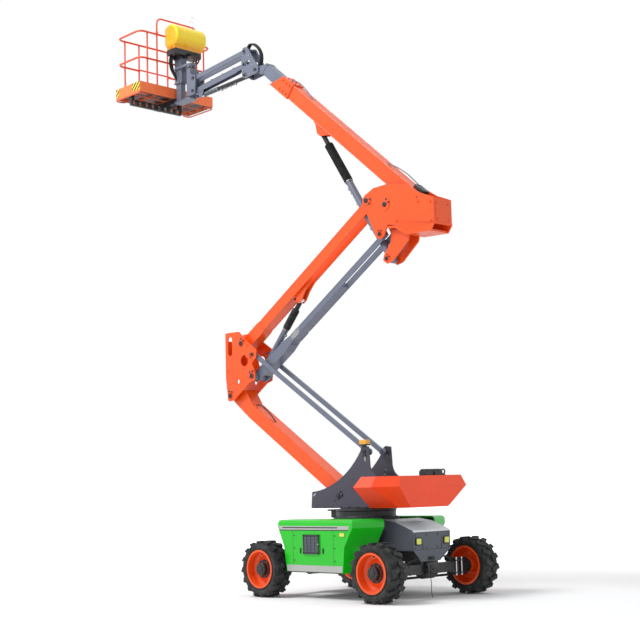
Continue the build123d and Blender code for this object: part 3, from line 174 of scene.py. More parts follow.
class Tree:
    """A node tree with short calls to add and join nodes."""

    def __init__(self, tree):
        self.nodes = tree.nodes
        self.links = tree.links

    def add(self, kind, **values):
        node = self.nodes.new(kind)
        for name, value in values.items():
            setattr(node, name, value)
        return node

    def join(self, source, target):
        self.links.new(source, target)

    def put(self, value, target):
        """Feed a socket from another socket, or set its own value."""
        if isinstance(value, bpy.types.NodeSocket):
            self.links.new(value, target)
        else:
            target.default_value = value

    def math(self, operation, first, second, clamp=False):
        node = self.add("ShaderNodeMath", operation=operation, use_clamp=clamp)
        self.put(first, node.inputs[0])
        self.put(second, node.inputs[1])
        return node.outputs[0]

    def noise(self, vector, scale, detail=3.0, roughness=0.55):
        node = self.add("ShaderNodeTexNoise")
        values = {"Vector": vector, "Scale": scale, "Detail": detail, "Roughness": roughness}
        for title, value in values.items():
            self.put(value, node.inputs[title])
        return node.outputs["Fac"]

    def ramp(self, value, low, high, to_low=0.0, to_high=1.0):
        node = self.add("ShaderNodeMapRange")
        for index, item in enumerate((value, low, high, to_low, to_high)):
            self.put(item, node.inputs[index])
        return node.outputs["Result"]

    def mix(self, factor, first, second, blend="MIX"):
        node = self.add("ShaderNodeMix", data_type="RGBA", blend_type=blend)
        for title, value in (("Factor", factor), ("A", first), ("B", second)):
            self.put(value, node.inputs[title])
        return node.outputs["Result"]

    def place(self):
        """Return the object's own coordinates."""
        return self.add("ShaderNodeTexCoord").outputs["Object"]

    def facing(self):
        """Return how far a face looks up, from -1 to 1."""
        return self.height(self.add("ShaderNodeNewGeometry").outputs["Normal"])

    def height(self, vector):
        """Return the third part of a vector."""
        node = self.add("ShaderNodeSeparateXYZ")
        self.join(vector, node.inputs[0])
        return node.outputs["Z"]

    def stretched(self, scale):
        """Return the object's own coordinates, stretched."""
        node = self.add("ShaderNodeMapping")
        self.join(self.place(), node.inputs["Vector"])
        node.inputs["Scale"].default_value = scale
        return node.outputs["Vector"]


GROUPS = {}
FINISH = {}


def node_group(name, colours, values, results):
    """Start a shared node group that gives a colour and some plain results."""
    group = bpy.data.node_groups.new(name, "ShaderNodeTree")
    GROUPS[name] = group
    for way, kind, titles in (
        ("INPUT", "Color", colours), ("INPUT", "Float", values),
        ("OUTPUT", "Color", ("Colour",)), ("OUTPUT", "Float", results),
    ):
        for title in titles:
            group.interface.new_socket(title, in_out=way, socket_type="NodeSocket" + kind)
    tree = Tree(group)
    return tree, tree.add("NodeGroupInput").outputs, tree.add("NodeGroupOutput").inputs


def film_group(name, *values):
    """Start the node group of a surface film."""
    return node_group(name, ("Colour",), values, ("Roughness", "Height"))


def paint_group():
    """Sprayed paint: slow changes of tone, run marks, orange peel and fine dirt."""
    tree, given, out = film_group("sprayed_paint", "Roughness", "Wear")
    place = tree.place()
    tone = tree.ramp(tree.noise(place, 1.7), 0.3, 0.7, 0.93, 1.04)
    runs = tree.ramp(tree.noise(tree.stretched((9, 9, 0.9)), 2.2, 5.0), 0.52, 0.78)
    specks = tree.ramp(tree.noise(place, 46.0, 2.0), 0.66, 0.74)
    shade = tree.add("ShaderNodeCombineColor")
    for channel in shade.inputs:
        tree.join(tone, channel)
    toned = tree.mix(1.0, given["Colour"], shade.outputs[0], "MULTIPLY")
    grime = tree.math("MAXIMUM", tree.math("MULTIPLY", runs, 0.5), specks)
    grime = tree.math("MULTIPLY", grime, given["Wear"])
    dull = tree.mix(1.0, toned, (0.55, 0.52, 0.5, 1), "MULTIPLY")
    tree.join(tree.mix(grime, toned, dull), out["Colour"])
    rough = tree.math("ADD", given["Roughness"], tree.ramp(tree.noise(place, 7.0), 0.3, 0.7, -0.05, 0.08))
    tree.join(tree.math("ADD", rough, tree.math("MULTIPLY", grime, 0.35), True), out["Roughness"])
    tree.join(tree.noise(place, 190.0, 2.0), out["Height"])


def moulding_group():
    """Moulded plastic: a fine grain and faint scuffs."""
    tree, given, out = film_group("moulded_plastic", "Roughness", "Wear")
    place = tree.place()
    scuff = tree.ramp(tree.noise(tree.stretched((1.5, 1.5, 14)), 3.0, 6.0), 0.6, 0.75)
    scuff = tree.math("MULTIPLY", scuff, given["Wear"])
    tone = tree.ramp(tree.noise(place, 2.3), 0.3, 0.7, 0.0, 0.09)
    darker = tree.mix(tone, given["Colour"], (0.02, 0.02, 0.02, 1))
    tree.join(tree.mix(tree.math("MULTIPLY", scuff, 0.35), darker, (0.8, 0.8, 0.78, 1)), out["Colour"])
    tree.join(tree.math("ADD", given["Roughness"], tree.math("MULTIPLY", scuff, 0.4), True), out["Roughness"])
    tree.join(tree.noise(place, 260.0, 1.0), out["Height"])


def dust_group():
    """Dry dust that thins out above a height and gathers in patches."""
    values = ("Amount", "Top", "Roughness")
    tree, given, out = node_group("ground_dust", ("Colour", "Dust"), values, ("Roughness",))
    place = tree.place()
    low = tree.ramp(tree.height(place), 0.0, given["Top"], 1.0, 0.0)
    patches = tree.ramp(tree.noise(place, 6.0, 6.0, 0.65), 0.34, 0.72)
    fine = tree.ramp(tree.noise(place, 70.0, 3.0), 0.3, 0.75)
    mask = tree.math("MULTIPLY", low, tree.math("MULTIPLY", patches, fine))
    mask = tree.math("MULTIPLY", mask, given["Amount"], True)
    tree.join(tree.mix(mask, given["Colour"], given["Dust"]), out["Colour"])
    tree.join(tree.math("ADD", given["Roughness"], tree.math("MULTIPLY", mask, 0.4), True), out["Roughness"])


def rubber_group():
    """Vulcanised rubber: grey blooming and a fine pitted skin."""
    tree, given, out = film_group("cured_rubber", "Wear")
    place = tree.place()
    # Grey blooming of the rubber itself: no painted highlight here
    bloom = tree.math("MULTIPLY", tree.ramp(tree.noise(place, 9.0, 5.0), 0.4, 0.75), given["Wear"])
    tree.join(tree.mix(bloom, given["Colour"], (0.11, 0.108, 0.104, 1)), out["Colour"])
    tree.join(tree.ramp(tree.noise(place, 30.0), 0.3, 0.7, 0.62, 0.82), out["Roughness"])
    tree.join(tree.noise(place, 320.0, 2.0), out["Height"])


def ground_steel_group():
    """Ground or plated steel: close rings of grinding marks."""
    tree, given, out = film_group("ground_steel", "Roughness")
    marks = tree.noise(tree.stretched((1.0, 40.0, 1.0)), 40.0, 2.0)
    film = tree.ramp(tree.noise(tree.place(), 5.0, 4.0), 0.35, 0.75, 0.0, 0.35)
    tree.join(tree.mix(film, given["Colour"], (0.3, 0.3, 0.31, 1)), out["Colour"])
    grain = tree.ramp(marks, 0.3, 0.7, -0.05, 0.12)
    tree.join(tree.math("ADD", given["Roughness"], grain, True), out["Roughness"])
    tree.join(marks, out["Height"])


def placed_group(tree, name, **values):
    """Put a shared group into a material with the values that it takes."""
    node = tree.add("ShaderNodeGroup", node_tree=GROUPS[name])
    for title, value in values.items():
        if title in node.inputs:
            tree.put(value, node.inputs[title])
    return node.outputs


def colour4(value):
    """Add the fourth value that colour sockets take."""
    return (*value, 1.0)


SHADER_SOCKET = {
    "coat": "Coat Weight", "coat_roughness": "Coat Roughness", "metallic": "Metallic",
    "specular": "Specular IOR Level",
}


def start_material(name, **values):
    """Start a material with some of its shader's values, and return it with its tree and its shader."""
    material = bpy.data.materials.new(name)
    material.use_nodes = True
    shader = material.node_tree.nodes["Principled BSDF"]
    for title, value in {"coat_roughness": 0.12, **values}.items():
        shader.inputs[SHADER_SOCKET[title]].default_value = value
    FINISH[name] = material
    return material, Tree(material.node_tree), shader


# The film's group, the strength and depth of its relief, and its shader's values
KINDS = {
    "paint": ("sprayed_paint", 0.05, 0.0006, {"coat": 0.1}),
    "plastic": ("moulded_plastic", 0.08, 0.0005, {"coat": 0.15}),
    "rubber": ("cured_rubber", 0.25, 0.0012, {"specular": 0.35}),
    "steel": ("ground_steel", 0.04, 0.0004, {"metallic": 1.0}),
}
# How far a face must look down to take painted shade, and up to take a painted highlight
LOOKS_DOWN = -0.5
LOOKS_UP = (0.3, 0.55)
SEEN_GRAY = (0.2, 0.2, 0.2, 1)


def coated(
    name, kind, colour, roughness, wear, dust=None, under=None, top_highlight=None, foot=None, calm=False, coat=None
):
    """Make a finish. `dust` holds its amount, the height that it ends at and its colour. The shade below
    is a dark colour painted as shade on faces that look down, and the top highlight is a pale colour
    painted as a highlight on faces that look up. `foot` holds two heights and the colour below them.
    A calm finish is gray where other surfaces see it, so it doesn't tint its neighbours."""
    group, strength, depth, values = KINDS[kind]
    if coat is not None:
        values = {**values, "coat": coat}
    material, tree, shader = start_material(name, **values)
    base = colour4(colour)
    if foot:
        base = tree.mix(tree.ramp(tree.height(tree.place()), *foot[:2]), colour4(foot[2]), base)
    # Painted shade: faces that look down take a dark colour
    if under:
        base = tree.mix(tree.math("LESS_THAN", tree.facing(), LOOKS_DOWN), base, colour4(under))
    # Painted highlight: faces that look up turn pale
    if top_highlight:
        base = tree.mix(tree.ramp(tree.facing(), *LOOKS_UP), base, colour4(top_highlight))
    film = placed_group(tree, group, Colour=base, Roughness=roughness, Wear=wear)
    seen = film
    if dust:
        amount, top, tint = dust
        seen = placed_group(
            tree, "ground_dust", Colour=film["Colour"], Roughness=film["Roughness"],
            Dust=colour4(tint), Amount=amount, Top=top,
        )
    shown = seen["Colour"]
    if calm:
        path = tree.add("ShaderNodeLightPath")
        mirrored = tree.math("MAXIMUM", path.outputs["Is Diffuse Ray"], path.outputs["Is Glossy Ray"])
        shown = tree.mix(mirrored, shown, SEEN_GRAY)
    tree.join(shown, shader.inputs["Base Color"])
    tree.join(seen["Roughness"], shader.inputs["Roughness"])
    bump = tree.add("ShaderNodeBump")
    for title, value in (("Strength", strength), ("Distance", depth), ("Height", film["Height"])):
        tree.put(value, bump.inputs[title])
    tree.join(bump.outputs["Normal"], shader.inputs["Normal"])


# Mesh making


def linked(name, data):
    """Put an object with some data into the scene."""
    thing = bpy.data.objects.new(name, data)
    bpy.context.scene.collection.objects.link(thing)
    return thing


def frame_at(axis):
    """Return two directions square to an axis and to each other."""
    axis = axis.normalized()
    first = UP if abs(axis.z) < 0.9 else FORWARD
    first = (first - axis * first.dot(axis)).normalized()
    return first, axis.cross(first)


def circle(axis, steps, phase=0.0):
    """Return the directions round an axis."""
    first, second = frame_at(axis)
    turns = [2 * math.pi * (index + phase) / steps for index in range(steps)]
    return [first * math.cos(turn) + second * math.sin(turn) for turn in turns]


def lathe(mesh, base, axis, profile, steps=24):
    """Add a closed turned form: profile holds (distance along the axis, radius) pairs."""
    base, axis = Vector(base), axis.normalized()
    spokes = circle(axis, steps)
    rows = []
    for run, radius in profile:
        centre = base + axis * run
        used = spokes if radius > 0 else spokes[:1]
        rows.append([mesh.verts.new(centre + spoke * radius) for spoke in used])
    for low, high in zip(rows, rows[1:]):
        for index in range(steps):
            after = (index + 1) % steps
            corners = [(low, index), (low, after), (high, after), (high, index)]
            face = list(dict.fromkeys(row[corner % len(row)] for row, corner in corners))
            if len(face) > 2:
                mesh.faces.new(face)
    for row in (rows[0], rows[-1]):
        if len(row) > 2:
            mesh.faces.new(row)


def disc(mesh, base, axis, radius, height, edge=0.003, steps=40):
    """Add a round plate with a broken edge."""
    profile = [(0, radius), (height - edge, radius), (height, radius - edge), (height, 0)]
    lathe(mesh, base, axis, profile, steps)


def hex_bolt(mesh, base, axis, flats, height=None):
    """Add a hexagon head with a washer under it and chamfered corners."""
    height = height or flats * 0.55
    corner = flats / math.sqrt(3)
    washer, thickness = flats * 0.68, flats * 0.1
    lathe(mesh, base, axis, [(0, washer), (thickness, washer), (thickness, 0)], 18)
    head = [(0, corner), (height * 0.82, corner), (height, corner * 0.86), (height, 0)]
    lathe(mesh, Vector(base) + axis.normalized() * flats * 0.09, axis, head, 6)


def slab(mesh, corners, thickness):
    """Add a flat plate: its outline and the vector through its thickness."""
    low = [mesh.verts.new(corner) for corner in corners]
    high = [mesh.verts.new(Vector(corner) + thickness) for corner in corners]
    mesh.faces.new(low)
    mesh.faces.new(high)
    for index in range(len(low)):
        after = (index + 1) % len(low)
        mesh.faces.new((low[index], low[after], high[after], high[index]))


def span(middle, half):
    """Return the limits of a stretch from its middle."""
    return middle - half, middle + half


def block(mesh, xs, ys, zs):
    """Add a box between three pairs of limits."""
    corners = [(xs[0], ys[0], zs[0]), (xs[1], ys[0], zs[0]), (xs[1], ys[1], zs[0]), (xs[0], ys[1], zs[0])]
    slab(mesh, corners, UP * (zs[1] - zs[0]))


def make_piece(name, mesh, body, finish, bevel=0.0, angle=34, slot=None):
    """Turn a bmesh into a piece that rides a body, or a loose piece when it is given none."""
    bmesh.ops.recalc_face_normals(mesh, faces=mesh.faces)
    data = bpy.data.meshes.new(name)
    mesh.to_mesh(data)
    mesh.free()
    data.polygons.foreach_set("use_smooth", [True] * len(data.polygons))
    data.set_sharp_from_angle(angle=math.radians(angle))
    data.materials.append(FINISH[finish])
    made = linked(name, data)
    if bevel:
        edge = made.modifiers.new("broken_edges", "BEVEL")
        edge.width = bevel
        edge.segments = 2
        edge.limit_method = "ANGLE"
        edge.angle_limit = math.radians(40)
    if body:
        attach(made, body)
    return made


@contextlib.contextmanager
def piece(name, body, finish, **looks):
    """Give an empty mesh to fill, and then make it a piece that rides a body."""
    mesh = bmesh.new()
    yield mesh
    make_piece(name, mesh, body, finish, **looks)


def bent_tube(name, points, radius, body, finish):
    """Make a hose or bent pipe along a smooth curve through control points."""
    curve = bpy.data.curves.new(name, "CURVE")
    curve.dimensions = "3D"
    curve.bevel_depth = radius
    curve.bevel_resolution = 4
    curve.resolution_u = 10
    curve.use_fill_caps = True
    spline = curve.splines.new("NURBS")
    spline.points.add(len(points) - 1)
    for point, place in zip(spline.points, points):
        point.co = (*place, 1.0)
    spline.order_u = 3
    spline.use_endpoint_u = True
    curve.materials.append(FINISH[finish])
    tube = linked(name, curve)
    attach(tube, body)
    return tube


def hose(name, points, body, radius):
    """Make a hose that rides one body."""
    return bent_tube(name, points, radius, body, "hose_rubber")


class Beam:
    """A boom's own directions: along it, and square to it in the plane that it swings in."""

    def __init__(self, start, along):
        self.start = start
        self.along = along.normalized()
        self.rise = Vector((-self.along.z, 0, self.along.x))
        if self.rise.z < 0:
            self.rise.negate()

    def at(self, run, side=0.0, rise=0.0):
        """Return the point at a run along the boom, a side step and a rise."""
        return self.start + self.along * run + ACROSS * side + self.rise * rise

    def path(self, places, side=0.0):
        """Return the points at some runs and rises."""
        return [self.at(run, side, rise) for run, rise in places]


MAIN = Beam(BOOM, AXIS["telescope"])
RISER = Beam(UPPER, TOWER - UPPER)
LOWER_ARM = Beam(LOWER, ELBOW - LOWER)
LINK_ARM = Beam(LINK, TOWER - UPPER)
JIB_ARM = Beam(JIB, JIB_END - JIB)


def across(point, side):
    """Return a point of the middle plane, moved sideways."""
    return Vector((point.x, side, point.z))


def sided(path, side):
    """Return a path of the left side, or its mirror image on the right."""
    return [(x, side * y, z) for x, y, z in path]


def spot(origin, x, z):
    """Return the point at a step along and up from a point."""
    return origin + Vector((x, 0, z))


def spots(origin, places):
    """Return the points at some steps along and up from a point."""
    return [spot(origin, x, z) for x, z in places]


def cheek_bolts(mesh, points, half, flats):
    """Add bolts on both cheeks at points of the middle plane."""
    for point, side in product(points, BOTH):
        hex_bolt(mesh, across(point, side * half), ACROSS * side, flats)


def rod(mesh, start, end, radius, steps=10):
    """Add a round bar between two points."""
    way = Vector(end) - Vector(start)
    lathe(mesh, start, way, [(0, radius), (way.length, radius)], steps)


def ring(mesh, centre, axis, major, minor, steps=40, sides=8):
    """Add a round ring."""
    centre, axis = Vector(centre), axis.normalized()
    rolls = [2 * math.pi * side / sides for side in range(sides)]
    rows = []
    for out in circle(axis, steps):
        section = [out * (major + minor * math.cos(roll)) + axis * minor * math.sin(roll) for roll in rolls]
        rows.append([mesh.verts.new(centre + point) for point in section])
    for low, high in zip(rows, rows[1:] + rows[:1]):
        for side in range(sides):
            after = (side + 1) % sides
            mesh.faces.new((low[side], low[after], high[after], high[side]))


def bolt_ring(mesh, centre, axis, radius, count, flats, phase=0.0):
    """Add bolts evenly round an axis."""
    for out in circle(axis, count, phase):
        hex_bolt(mesh, Vector(centre) + out * radius, axis, flats)


def beam_block(mesh, beam, runs, sides, rises):
    """Add a box lined up with a boom."""
    order = ((0, 0), (1, 0), (1, 1), (0, 1))
    slab(mesh, [beam.at(runs[i], sides[0], rises[j]) for i, j in order], ACROSS * (sides[1] - sides[0]))


def edge_welds(mesh, beam, runs, half, rises, radius=0.005):
    """Add weld beads along a box boom's four edges."""
    for side, rise in product((half, -half), rises):
        rod(mesh, beam.at(runs[0], side, rise), beam.at(runs[1], side, rise), radius, 8)


def end_welds(mesh, beam, run, half, rises):
    """Add weld beads up both sides of a box boom."""
    for side in (half, -half):
        rod(mesh, beam.at(run, side, rises[0]), beam.at(run, side, rises[1]), 0.006, 8)


def rounded_outline(width, height, corner):
    """Return the outline of a rectangle with rounded corners about its middle."""
    steps = 4
    points = []
    for quarter, (sign_x, sign_y) in enumerate(((1, 1), (-1, 1), (-1, -1), (1, -1))):
        for step in range(steps + 1):
            turn = math.pi / 2 * (quarter + step / steps)
            points.append((
                sign_x * (width / 2 - corner) + corner * math.cos(turn),
                sign_y * (height / 2 - corner) + corner * math.sin(turn),
            ))
    return points


def badge(mesh, centre, first, second, size, thickness, corner):
    """Add a flat plate with rounded corners: its middle, two directions, its size and its thickness."""
    corners = [Vector(centre) + first * x + second * y for x, y in rounded_outline(*size, corner)]
    slab(mesh, corners, first.cross(second).normalized() * thickness)


# Operators


class BOOMLIFT_OT_stage(bpy.types.Operator):
    """Set the camera, the pale floor and the soft light"""
    bl_idname = "boomlift.stage"
    bl_label = "Stage"

    def execute(self, context):
        stage = context.scene.boom_lift_stage
        self.camera(context.scene, stage)
        self.floor(stage)
        self.light(context.scene, stage)
        context.scene.view_settings.view_transform = "Standard"
        return {"FINISHED"}

    def camera(self, scene, stage):
        """Place the camera by its heading, pitch and roll."""
        camera = linked("camera", bpy.data.cameras.new("camera"))
        camera.data.lens = stage.lens
        camera.data.sensor_width = 36
        camera.data.clip_end = 400
        ahead = Vector((
            -math.sin(stage.heading) * math.cos(stage.pitch),
            math.cos(stage.heading) * math.cos(stage.pitch),
            math.sin(stage.pitch),
        ))
        level = Vector((math.cos(stage.heading), math.sin(stage.heading), 0))
        above = level.cross(ahead)
        right = level * math.cos(stage.roll) + above * math.sin(stage.roll)
        above = above * math.cos(stage.roll) - level * math.sin(stage.roll)
        turn = Matrix((right, above, -ahead)).transposed()
        camera.matrix_world = Matrix.Translation(stage.eye) @ turn.to_4x4()
        scene.camera = camera

    def floor(self, stage):
        """Make a floor that looks white and still takes the object's shadow."""
        mesh = bmesh.new()
        half = stage.floor_half
        corners = ((-half, -half), (half, -half), (half, half), (-half, half))
        mesh.faces.new([mesh.verts.new((x, y, 0)) for x, y in corners])
        data = bpy.data.meshes.new("floor")
        mesh.to_mesh(data)
        mesh.free()
        material, tree, shader = start_material("pale_floor", specular=0.0)
        shader.inputs["Base Color"].default_value = (0.9, 0.9, 0.9, 1)
        shader.inputs["Roughness"].default_value = 0.9
        shader.inputs["Emission Strength"].default_value = 1.0
        away = tree.add("ShaderNodeVectorMath", operation="LENGTH")
        tree.join(tree.place(), away.inputs[0])
        glow = tree.ramp(away.outputs["Value"], *stage.fade, 0.0, 0.8)
        glow = tree.math("MULTIPLY", glow, tree.add("ShaderNodeLightPath").outputs["Is Camera Ray"])
        tree.join(tree.mix(glow, (0, 0, 0, 1), (1, 1, 1, 1)), shader.inputs["Emission Color"])
        data.materials.append(material)
        linked("floor", data)

    def light(self, scene, stage):
        """Light the object with a white sky and one large soft lamp."""
        world = bpy.data.worlds.new("studio")
        scene.world = world
        world.use_nodes = True
        tree = Tree(world.node_tree)
        sky = world.node_tree.nodes["Background"]
        sky.inputs["Color"].default_value = (0.97, 0.985, 1.0, 1)
        sky.inputs["Strength"].default_value = stage.sky
        plain = tree.add("ShaderNodeBackground")
        plain.inputs["Color"].default_value = (1, 1, 1, 1)
        path = tree.add("ShaderNodeLightPath")
        seen = tree.math("MAXIMUM", path.outputs["Is Camera Ray"], path.outputs["Is Glossy Ray"])
        seen = tree.math("MAXIMUM", seen, path.outputs["Is Transmission Ray"])
        either = tree.add("ShaderNodeMixShader")
        for index, source in enumerate((seen, sky.outputs[0], plain.outputs[0])):
            tree.join(source, either.inputs[index])
        tree.join(either.outputs[0], world.node_tree.nodes["World Output"].inputs[0])
        lamp = bpy.data.lights.new("key_lamp", "AREA")
        lamp.energy = stage.key
        lamp.size = 8
        holder = linked("key_lamp", lamp)
        holder.location = stage.lamp
        holder.rotation_euler = (Vector(stage.aim) - Vector(stage.lamp)).to_track_quat("-Z", "Y").to_euler()


CONSOLE_SEAM = 9.585
# Name, kind, colour, roughness, wear and what else the finish has
FINISHES = (
    ("boom_paint", "paint", "boom", 0.32, 0.22, {}),
    ("weight_paint", "paint", "weight", 0.34, 0.25, {"calm": True}),
    ("rail_paint", "paint", "rail", 0.3, 0.3, {}),
    # The floor takes painted shade on its downward faces, and its orange is lightened as painted light
    ("floor_paint", "paint", "floor", 0.4, 0.3, {"under": "under"}),
    ("turret_paint", "paint", "turret", 0.36, 0.3, {}),
    ("link_paint", "paint", "link", 0.36, 0.3, {}),
    ("frame_paint", "paint", "black", 0.42, 0.3, {"dust": (0.35, 1.2, "dust")}),
    ("barrel_paint", "paint", "black", 0.35, 0.25, {}),
    ("rim_paint", "paint", "boom", 0.4, 0.35, {"dust": (0.2, 0.9, "dust")}),
    ("grille_paint", "paint", "end", 0.45, 0.4, {}),
    ("drum_paint", "paint", "black", 0.4, 0.3, {"dust": (0.2, 0.9, "dust")}),
    ("side_moulding", "plastic", "cover", 0.3, 0.06, {"dust": (0.12, 0.6, "dust"), "calm": True}),
    # The end covers take a painted highlight on their upward faces
    ("end_moulding", "plastic", "end", 0.3, 0.1, {
        "dust": (0.1, 0.7, "dust"), "top_highlight": "bloom", "coat": 0.0,
    }),
    ("console_moulding", "plastic", "console", 0.26, 0.2, {}),
    # Painted shade: the console's shell and the drum's ends take the shaded yellow, and the drum darkens towards
    # its lower side
    ("console_shell", "plastic", "gold", 0.26, 0.2, {"foot": (CONSOLE_SEAM, CONSOLE_SEAM + 0.002, "black")}),
    ("drum_moulding", "plastic", "console", 0.26, 0.2, {"foot": (9.58, 9.78, "gold")}),
    ("drum_ends", "plastic", "gold", 0.26, 0.2, {}),
    ("band_film", "plastic", "band", 0.3, 0.4, {"dust": (0.2, 0.8, "dust")}),
    ("black_moulding", "plastic", "black", 0.45, 0.3, {}),
    ("amber_lens", "plastic", "amber", 0.12, 0.1, {"coat": 0.6}),
    ("lamp_lens", "plastic", "lens", 0.12, 0.1, {"coat": 0.6}),
    ("tyre_rubber", "rubber", "rubber", 0.0, 0.4, {"dust": (0.3, 1.1, "dust")}),
    ("sleeve_rubber", "rubber", "rubber", 0.0, 0.25, {}),
    ("hose_rubber", "rubber", "rubber", 0.0, 0.35, {}),
    ("plated_rod", "steel", (0.78, 0.79, 0.81), 0.14, 0.0, {}),
    ("zinc_bolt", "steel", (0.4, 0.41, 0.42), 0.4, 0.0, {}),
    ("dark_bolt", "steel", (0.09, 0.09, 0.1), 0.45, 0.0, {}),
    ("pale_zinc", "steel", (0.78, 0.79, 0.8), 0.3, 0.0, {}),
)
NODE_FINISH = {
    "paint_orange": "boom_paint", "paint_deep_orange": "weight_paint", "paint_violet_gray": "turret_paint",
    "paint_blue_gray": "link_paint", "frame_black": "frame_paint", "cover_green": "side_moulding",
    "cover_gray": "end_moulding", "cover_yellow": "console_moulding", "lamp_amber": "lamp_lens",
    "battery_case": "black_moulding", "rail_red": "rail_paint", "floor_red": "floor_paint",
    "rim_orange": "rim_paint", "tyre_rubber": "tyre_rubber", "ram_barrel": "barrel_paint",
    "ram_rod": "plated_rod",
}


class BOOMLIFT_OT_finishes(bpy.types.Operator):
    """Make the finishes and put them on the frame's nodes"""
    bl_idname = "boomlift.finishes"
    bl_label = "Finishes"

    def execute(self, context):
        colours = context.scene.boom_lift_colours
        for make_group in (paint_group, moulding_group, dust_group, rubber_group, ground_steel_group):
            make_group()
        for name, kind, colour, roughness, wear, more in FINISHES:
            named = {title: self.coloured(colours, value) for title, value in more.items()}
            coated(name, kind, self.coloured(colours, colour), roughness, wear, **named)
        for row in frame["record"]["subparts"]:
            node = frame["nodes"][row["node"]]
            node.data.materials.clear()
            node.data.materials.append(FINISH[NODE_FINISH[row["material_slot"]]])
        for node, finish in (("console", "console_shell"), ("rotator", "link_paint")):
            frame["nodes"][node].data.materials[0] = FINISH[finish]
        return {"FINISHED"}

    def coloured(self, colours, value):
        """Look up the colours that a value names, alone or in a tuple."""
        if isinstance(value, str):
            return getattr(colours, value)
        if isinstance(value, tuple):
            return tuple(self.coloured(colours, part) for part in value)
        return value


WHEELS = ("wheel_front_left", "wheel_front_right", "wheel_rear_left", "wheel_rear_right")
HUB = (
    (0.038, 0.0), (0.038, 0.139), (0.049, 0.139), (0.053, 0.135), (0.053, 0.111), (0.067, 0.105),
    (0.067, 0.098), (0.115, 0.096), (0.122, 0.09), (0.122, 0.052), (0.131, 0.049), (0.134, 0.044),
    (0.134, 0.0),
)
VALVE_CAP = ((0, 0.008), (0.018, 0.008), (0.02, 0.005), (0.02, 0))
# Radius and sideways reach of the ribs on both sidewalls
SIDEWALL_RIBS = ((0.302, 0.146), (0.345, 0.1505))


class BOOMLIFT_OT_wheels(bpy.types.Operator):
    """Add hub drums, nuts, valves and sidewall ribs to the wheels"""
    bl_idname = "boomlift.wheels"
    bl_label = "Wheels"

    def execute(self, context):
        sizes = context.scene.boom_lift_sizes
        for name in WHEELS:
            centre = PIVOT[name]
            out = ACROSS if centre.y > 0 else -ACROSS
            with piece(name + "_drum", name, "drum_paint", angle=28) as drum:
                lathe(drum, centre, out, HUB, 44)
            with piece(name + "_nuts", name, "dark_bolt") as nuts:
                bolt_ring(nuts, centre + out * 0.053, out, 0.124, sizes.nuts, sizes.nut)
                bolt_ring(nuts, centre + out * 0.122, out, 0.072, 8, 0.014, 0.5)
            with piece(name + "_valve", name, "black_moulding") as valve:
                seat = centre + out * 0.02 + UP * 0.235
                tip = seat + out * 0.05 - UP * 0.008
                rod(valve, seat, tip, 0.006)
                lathe(valve, tip, out, VALVE_CAP, 12)
            with piece(name + "_ribs", name, "tyre_rubber") as ribs:
                for (major, reach), side in product(SIDEWALL_RIBS, BOTH):
                    ring(ribs, centre + out * side * reach, out, major, 0.0045, 72, 6)
        return {"FINISHED"}


# Each body's paint and its pins: middle, cheek's face, pin's end, radius and the keeper's angle
PINS = {
    "turret": ("turret_paint", ((LOWER, 0.25, 0.262, 0.042, 30), (LEVEL, 0.25, 0.26, 0.032, 270))),
    "mid_knuckle": ("boom_paint", (
        (ELBOW, 0.2, 0.212, 0.042, 80), (UPPER, 0.2, 0.212, 0.042, 60), (LINK, 0.2, 0.212, 0.042, 100),
        (ELBOW_LEVEL, 0.2, 0.21, 0.032, 200),
    )),
    "upright": ("boom_paint", (
        (TOWER, 0.2, 0.212, 0.042, -20), (TOWER_LINK, 0.2, 0.212, 0.032, 85), (BOOM, 0.2, 0.212, 0.042, 40),
        (RAM_BASE, 0.12, 0.13, 0.032, 50),
    )),
    "boom_head": ("link_paint", (
        (HEAD, 0.104, 0.114, 0.024, 170), (JIB, 0.104, 0.114, 0.024, 0), (JIB_LINK, 0.104, 0.114, 0.024, 280),
        (JIB_RAM, 0.104, 0.114, 0.024, 10),
    )),
    "rotator": ("link_paint", (
        (JIB_END, 0.104, 0.114, 0.024, 170), (JIB_LINK_END, 0.104, 0.114, 0.024, 190),
    )),
}
# Distances, and shares of the pin's radius
PIN_CAP = ((0, 1.02), (0.004, 1.02), (0.007, 0.9), (0.007, 0.5), (0.003, 0.42), (0.003, 0))
NIPPLE = ((0, 0.007), (0.006, 0.007), (0.008, 0.004), (0.015, 0.0045), (0.017, 0))
# Shares of the pin's radius
KEEPER = ((-1.25, -0.5), (1.25, -0.5), (1.25, 0.3), (0.9, 0.55), (-0.9, 0.55), (-1.25, 0.3))


class BOOMLIFT_OT_pins(bpy.types.Operator):
    """Add end caps, grease nipples and bolted keeper plates to the pins"""
    bl_idname = "boomlift.pins"
    bl_label = "Pins"

    def execute(self, context):
        for body, (paint, pins) in PINS.items():
            with (
                piece(body + "_pin_caps", body, "drum_paint") as caps,
                piece(body + "_keepers", body, paint, bevel=0.002) as keepers,
                piece(body + "_keeper_bolts", body, "dark_bolt") as bolts,
            ):
                for pin, side in product(pins, BOTH):
                    self.pin_end(caps, keepers, bolts, *pin, side)
        return {"FINISHED"}

    def pin_end(self, caps, keepers, bolts, centre, face, end, radius, turn, side):
        """Dress one end of one pin."""
        out = ACROSS * side
        middle = across(centre, side * end)
        # The caps are real pieces, and their black is painted shade: the pins' ends read as shaded recesses
        lathe(caps, middle, out, [(run, radius * share) for run, share in PIN_CAP], 32)
        lathe(bolts, middle + out * 0.003, out, NIPPLE, 10)
        angle = math.radians(turn)
        away = Vector((math.cos(angle), 0, math.sin(angle)))
        tangent = Vector((-math.sin(angle), 0, math.cos(angle)))
        plate = across(centre, side * face) + away * radius * 1.75
        thickness = out * (end - face) * 0.85
        slab(keepers, [plate + tangent * x * radius + away * y * radius for x, y in KEEPER], thickness)
        for step in (-0.8, 0.8):
            hex_bolt(bolts, plate + tangent * step * radius + thickness, out, radius * 0.55)


